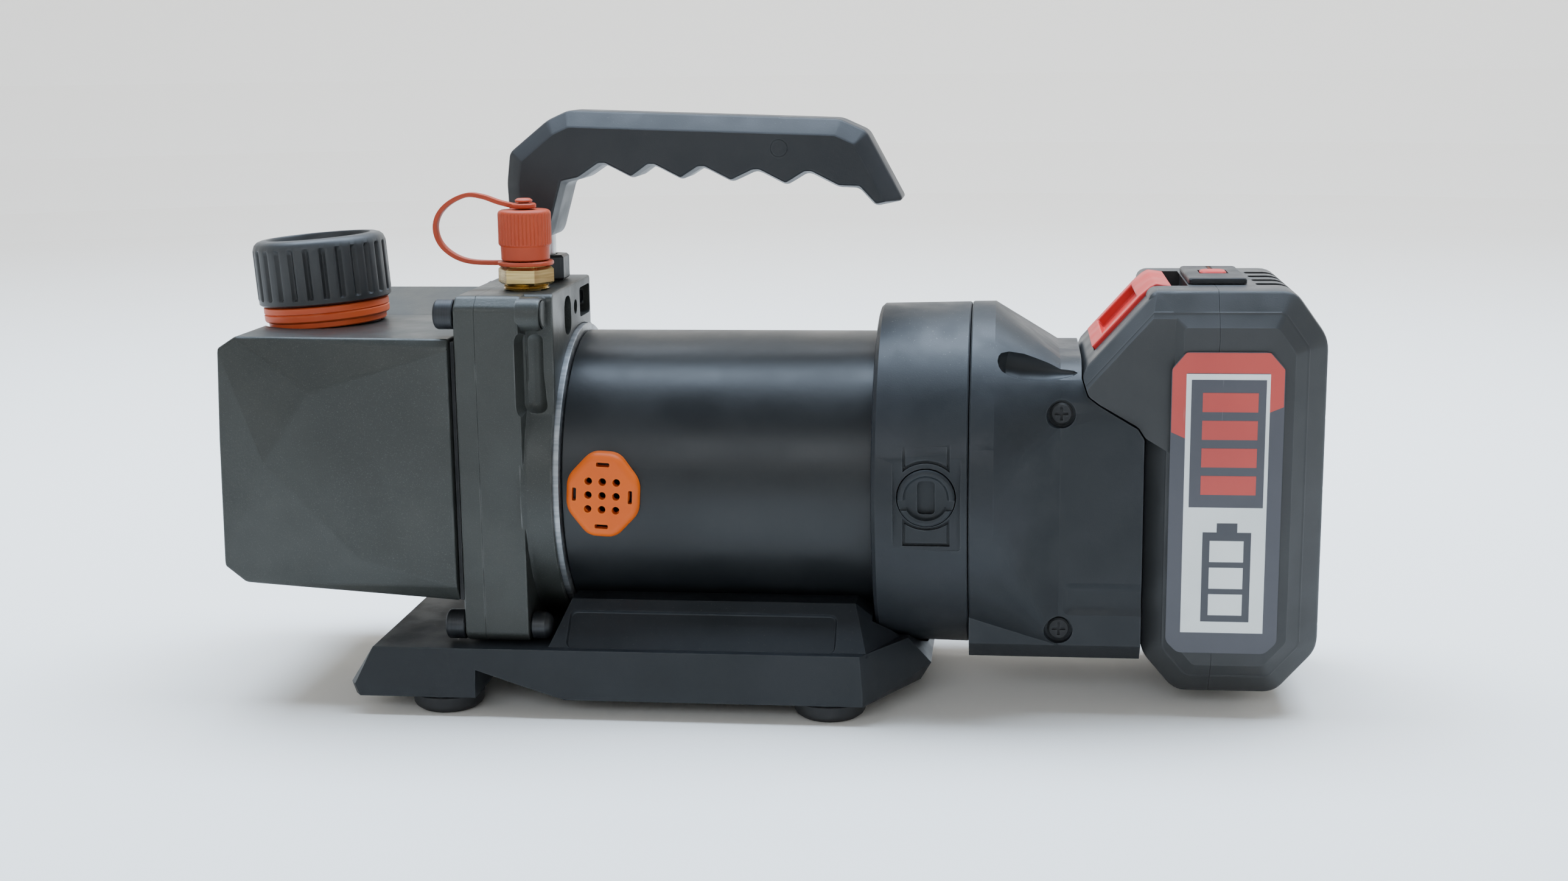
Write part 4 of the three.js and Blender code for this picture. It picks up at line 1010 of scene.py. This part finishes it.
def adapter_shell():
    start, drum_end = 116, 122.7
    neck = [(NECK_X, y, z) for y, z in neck_outline()]
    drum = drum_ring(start, 50.0) + drum_ring(start + 0.4, 50.3) + drum_ring(drum_end, 50.4)
    shell = hull("adapter_moulding", drum + neck)
    combine(shell, "INTERSECT", [block("above_bottom", (100, -60, ADAPTER_BOTTOM), (200, 60, 60))])
    foot = in_neck("square_foot", 1.0, start, NECK_X)
    combine(foot, "INTERSECT", [block("below_drum", (100, -60, ADAPTER_BOTTOM), (200, 60, -28))])
    tail_outline = [
        (NECK_X - 0.2, ADAPTER_BOTTOM), (NECK_X - 0.2, ADAPTER_TOP), *STEP, (TAIL_END, ADAPTER_BOTTOM),
    ]
    tail = prism("tail", tail_outline, "y", -ADAPTER_SIDE, ADAPTER_SIDE)
    combine(tail, "INTERSECT", [in_neck("neck_space", 1.0, NECK_X - 1, TAIL_END + 1)])
    join(shell, foot, tail)
    return bevel(shell, 0.35, 28, 2)


def rails(grow=0.0):
    """The two L-shaped rails that the battery slides on, or the room for them when they grow."""
    root, web, reach = TAIL_END - 0.4, 21 + grow, 170 + grow
    outline = [
        (root, -17 + grow), (reach, -17 + grow), (reach, -25 - grow), (167 - grow, -25 - grow),
        (167 - grow, -web), (root, -web),
    ]
    low = -58 if grow else -44
    near = prism("rail", outline, "z", low, 12 + grow)
    return [near, mirror(near, "far_rail")]


def driver_channel():
    """The teardrop hollow above the upper screw."""
    profile = [
        (0, 0), (0.4, 2), (1.2, 3.3), (3.5, 4.6), (8, 5), (15, 3.6), (20, 1.8), (22, 1), (23, 0),
    ]
    channel = lathe("driver_channel", profile, "x", segments=64)
    lean = turn_about("Z", 11.6) @ turn_about("Y", 10.3)
    return move(channel, Matrix.Translation((123.5, -33, 38)) @ lean)


def make_adapter():
    side = ADAPTER_SIDE
    shell = adapter_shell()
    neck_room = [(NECK_X, y, z) for y, z in neck_outline(0.89)]
    tools = [
        hull("taper_room", drum_ring(115, 45.5, 64) + drum_ring(122, 45.5, 64) + neck_room),
        block("tail_room", (NECK_X - 1, 3 - side, ADAPTER_BOTTOM + 3.2), (TAIL_END - 3, side - 3, 15)),
        block("contact_window", (TAIL_END - 4, -14.5, -22.5), (TAIL_END + 1, 14.5, 8.5)),
        block("switch_hole", (146.6, side - 1, -23.4), (157.4, side + 4, -0.6)),
        rod("hub_room", "x", 115, 122, 12.4),
    ]
    channel = driver_channel()
    tools += [channel, mirror(channel, "far_driver_channel")]
    hole = [(-side - 3, 0), (-side - 3, 4.4), (-side - 0.1, 3.9), (2.4 - side, 3.9), (2.4 - side, 0)]
    tools += [lathe("screw_hole", hole, "y", place, 48) for place in HOUSING_SCREWS]
    grip_depths = [(-side - 1, -1.2), (-side, -0.4), (0.5 - side, 0.8), (0.9 - side, 2.2)]
    grip = slab("grip_groove", rectangle(142.6, -33.3, 170, -24.8), "y", grip_depths, 2)
    tools += [grip, mirror(grip, "far_grip_groove")]
    join(cut(shell, *tools), *rails())
    show(shell, "adapter_housing", sharp=20)


def make_housing_screws():
    side = ADAPTER_SIDE
    profile = [(1.2 - side, 0), (1.2 - side, 2.6), (1.6 - side, 3.1), (2.4 - side, 3.1), (2.4 - side, 0)]
    for x, y, z in HOUSING_SCREWS:
        head = lathe("housing_screw", profile, "y", (x, y, z), 32)
        cross = []
        for wide, tall in ((1.9, 0.4), (0.4, 1.9)):
            bar = [(x + u, z + v) for u, v in rounded(rectangle(-wide, -tall, wide, tall), 0.1, 1)]
            cross.append(prism("driver_cross", bar, "y", -40, 1.9 - side))
        # The heads take the darkest, roughest finish (rubber) in place of black steel: partly a real screw head,
        # partly painted shade at the bottom of the deep hole.
        show(cut(head, *cross), "adapter_housing", "black_steel", look="rubber", stands_for=False)


def make_switch():
    bezel = from_cad("switch_frame", "switch_bezel")
    show(bevel(bezel, 0.4), "switch_bezel")
    rocker = from_cad("rocker_key", "switch_rocker")
    show(bevel(rocker, 0.5), "switch_rocker")


# ---- battery

PACK_FACE, PACK_PARTING, PACK_TOP = 36.3, 183.5, 57.3
PACK_CORNERS = [
    (164.3, -45.5), (174, -57), (202, -57), (213.5, -44), (213.5, 44), (204, PACK_TOP), (164.3, PACK_TOP),
]
# How far the pack's side face is drawn in: (depth behind the face, distance from the outline).
PACK_EDGE = [
    (0, 9.6), (0.3, 9.2), (2.3, 6.4), (2.5, 6.0), (2.6, 5.7), (3.0, 5.3), (5.8, 1.0), (6.6, 0.3), (8, 0),
]
SHOULDER = [
    (148.3, 36.5), (147, 33), (148.6, 28.3), (151.7, 26), (162.4, 19.7), (164.2, 16.8), (172, 12),
    (172, PACK_TOP), (166.8, PACK_TOP),
]
SHOULDER_SLOPE = 48.3
LATCH = [
    (149.8, 40), (153.6, 36.4), (168.4, 51.8), (171.6, 53.6), (171.6, PACK_TOP), (167.2, 57.9), (165.6, 57),
    (162.8, 54.5),
]
BUTTON_HOLE = ((180.4, -4.4, 50), (188.6, 4.4, 60))
LAMPS = [(184.5, y) for y in (7.5, 9.8, 12.1, 14.4)]


def under_edges(top, share, low):
    """Outline (y, z) of the space under the pack's chamfered upper edges."""
    side = [(-PACK_FACE, low)] + [(depth - PACK_FACE, top - share * amount) for depth, amount in PACK_EDGE]
    return side + [(-y, z) for y, z in reversed(side)]


def battery_outside():
    main = stepped("pack_main", PACK_CORNERS, "y", PACK_EDGE, -PACK_FACE, PACK_FACE, 3.5)
    shoulder = prism("pack_shoulder", rounded(SHOULDER, 0.8, 3), "y", -34.7, 34.7)
    slope = prism("under_slope", under_edges(0, 0.55, -40), "x", -14, 36)
    lean = turn_about("Y", -SHOULDER_SLOPE)
    move(slope, Matrix.Translation((SHOULDER[0][0], 0, SHOULDER[0][1])) @ lean)
    level = prism("under_top", under_edges(PACK_TOP, 1, 0), "x", 140, 180)
    combine(shoulder, "INTERSECT", [slope, level])
    return join(main, bevel(shoulder, 0.35, 24, 2))


def make_battery():
    pack = battery_outside()
    half = 19.4
    latch_room = [(x + shift, y, z - 0.3) for shift in (-0.3, 5) for x, z in LATCH for y in (-half, half)]
    tools = [
        hull("latch_room", latch_room),
        block("latch_slot", (166, -half, 50), (176, half, 70)),
        block("contact_channel", (163, -11, -58), (171.5, 11, 8)),
        block("button_hole", *BUTTON_HOLE),
        *rails(0.5),
    ]
    for y in (-15, -5, 5, 15):
        outline = rounded(rectangle(195, y - 2.4, 208, y + 2.4), 1.2, 3)
        tools.append(prism("vent_slot", outline, "z", 53.6, 60))
    for z in (22, 2, -18, -37):
        tools.append(block("grip_line", (212.9, -29, z - 0.5), (216, 29, z + 0.5)))
    cut(pack, *tools)
    halves = [("pack_rail_shell", "battery_rail_shell", 140, PACK_PARTING - 0.05),
              ("pack_outer_case", "battery_case", PACK_PARTING + 0.05, 230)]
    for name, node, start, end in halves:
        shell = add_object(name, pack.data.copy())
        combine(shell, "INTERSECT", [block("half", (start, -60, -80), (end, 60, 80))])
        show(shell, node, look="case_plastic", sharp=26)
    bpy.data.objects.remove(pack)


def make_latch():
    latch = from_cad("latch_key", "battery_latch")
    show(bevel(latch, 0.45, 35), "battery_latch")


def make_button_panel():
    panel_edge = [(57.6, 0), (58.6, 0), (59.0, 0.25), (59.2, 0.8)]
    panel = slab("button_pod", rectangle(176.4, -17, 192.6, 17), "z", panel_edge, 1.6)
    tools = [block("button_room", *BUTTON_HOLE)]
    tools += [prism("lamp_hole", circle(0.9, 24, place), "z", 58.8, 60) for place in LAMPS]
    show(cut(panel, *tools), "button_panel")
    dome = [(58.7, 0), (58.7, 0.8), (59.0, 0.7), (59.1, 0.4), (59.15, 0)]
    for number, place in enumerate(LAMPS, 1):
        lamp = lathe(f"charge_lamp_{number}", dome, "z", (*place, 0), 24)
        show(lamp, "button_panel", "orange_plastic", stands_for=False)
    key_edge = [(53.4, 0), (59.2, 0), (59.55, 0.3), (59.7, 1.0)]
    show(slab("charge_key", rectangle(180.8, -4, 188.2, 4), "z", key_edge, 2.5), "charge_button")


def make_label():
    """A printed label with a red head, a light frame and charge bars in place of lettering."""
    back, step = -PACK_FACE - 0.12, 0.06

    def layer(name, shape, level, look):
        start = back - 0.40 - step * level
        piece = prism(name, shape, "y", start, start + step * (level + 1))
        show(piece, "battery_label", "label_film", look, stands_for=False)

    outline = [
        (174, -43.6), (198, -43.6), (201.2, -40.4), (201.2, 36.6), (197.2, 41.2), (174.6, 41.2),
        (170.8, 36.6), (170.8, -40.4),
    ]
    show(prism("label_base", rounded(outline, 1.2, 3), "y", back - 0.42, back), "battery_label")
    head = [
        (171.0, 36.5), (171.0, 19), (175, 17.2), (175, 35.4), (197.2, 35.4), (197.2, 24.6), (201.0, 26.2),
        (201.0, 36.5), (197.1, 41.0), (174.7, 41.0),
    ]
    layer("label_head", head, 1, "label_red")
    layer("label_frame", rectangle(174.8, -37.7, 197.3, 35.2), 2, "label_white")
    layer("label_dark_panel", rectangle(176.2, -2, 196.3, 33.6), 3, "label_film")
    for number in range(4):
        low = 1.6 + 7.7 * number
        layer(f"charge_bar_{number + 1}", rectangle(179.3, low, 194.2, low + 5.3), 4, "label_red")
    cell = [
        (180.2, -34.5), (193.4, -34.5), (193.4, -9.0), (189.6, -9.0), (189.6, -6.4), (184, -6.4),
        (184, -9.0), (180.2, -9.0),
    ]
    layer("cell_outline", cell, 3, "label_ink")
    for number in range(3):
        low = -32.6 + 7.6 * number
        layer(f"cell_bar_{number + 1}", rectangle(182.2, low, 191.4, low + 6.0), 4, "label_white")


# ---- base and feet

def make_base():
    """The moulded base: its saddle has a shallow panel on each slope."""
    base = bevel(from_cad("base_moulding", "base_plate"), 0.8, 12, 2)
    depths = [(-0.9, 0.5), (-0.7, 0.2), (0, 0), (4, -0.6)]
    panel = slab("saddle_panel", rectangle(2, 1.2, 79, 13.6), "z", depths, 2.4)
    move(panel, Matrix.Translation((0, -48, -44)) @ turn_about("X", 46.2))
    cut(base, panel, mirror(panel, "far_saddle_panel"))
    show(base, "base_plate", sharp=20)


def make_feet():
    foot = [
        (-62.5, 0), (-62.5, 7.6), (-62.2, 8.4), (-61.3, 9.6), (-60.4, 10.1), (-57.7, 10.3), (-57.5, 10.0),
        (-57.5, 0),
    ]
    for end, x in (("front", -34), ("rear", 77)):
        for side, y in (("near", -41.5), ("far", 41.5)):
            show(lathe(f"rubber_foot_{end}_{side}", foot, "z", (x, y, 0), 64), f"foot_{end}_{side}")


# ---- assembly

make_tank()
make_fill_cap()
make_cap_seal()
make_filler_neck()
make_sight_glass()
make_drain()
make_cover_plate()
make_pump_body()
make_screws()
make_fitting()
make_inlet_cap()
make_tether()
make_handle()
make_handle_stud()
make_motor()
make_vent()
make_rear_cover()
make_brush_caps()
make_adapter()
make_housing_screws()
make_switch()
make_battery()
make_latch()
make_button_panel()
make_label()
make_base()
make_feet()
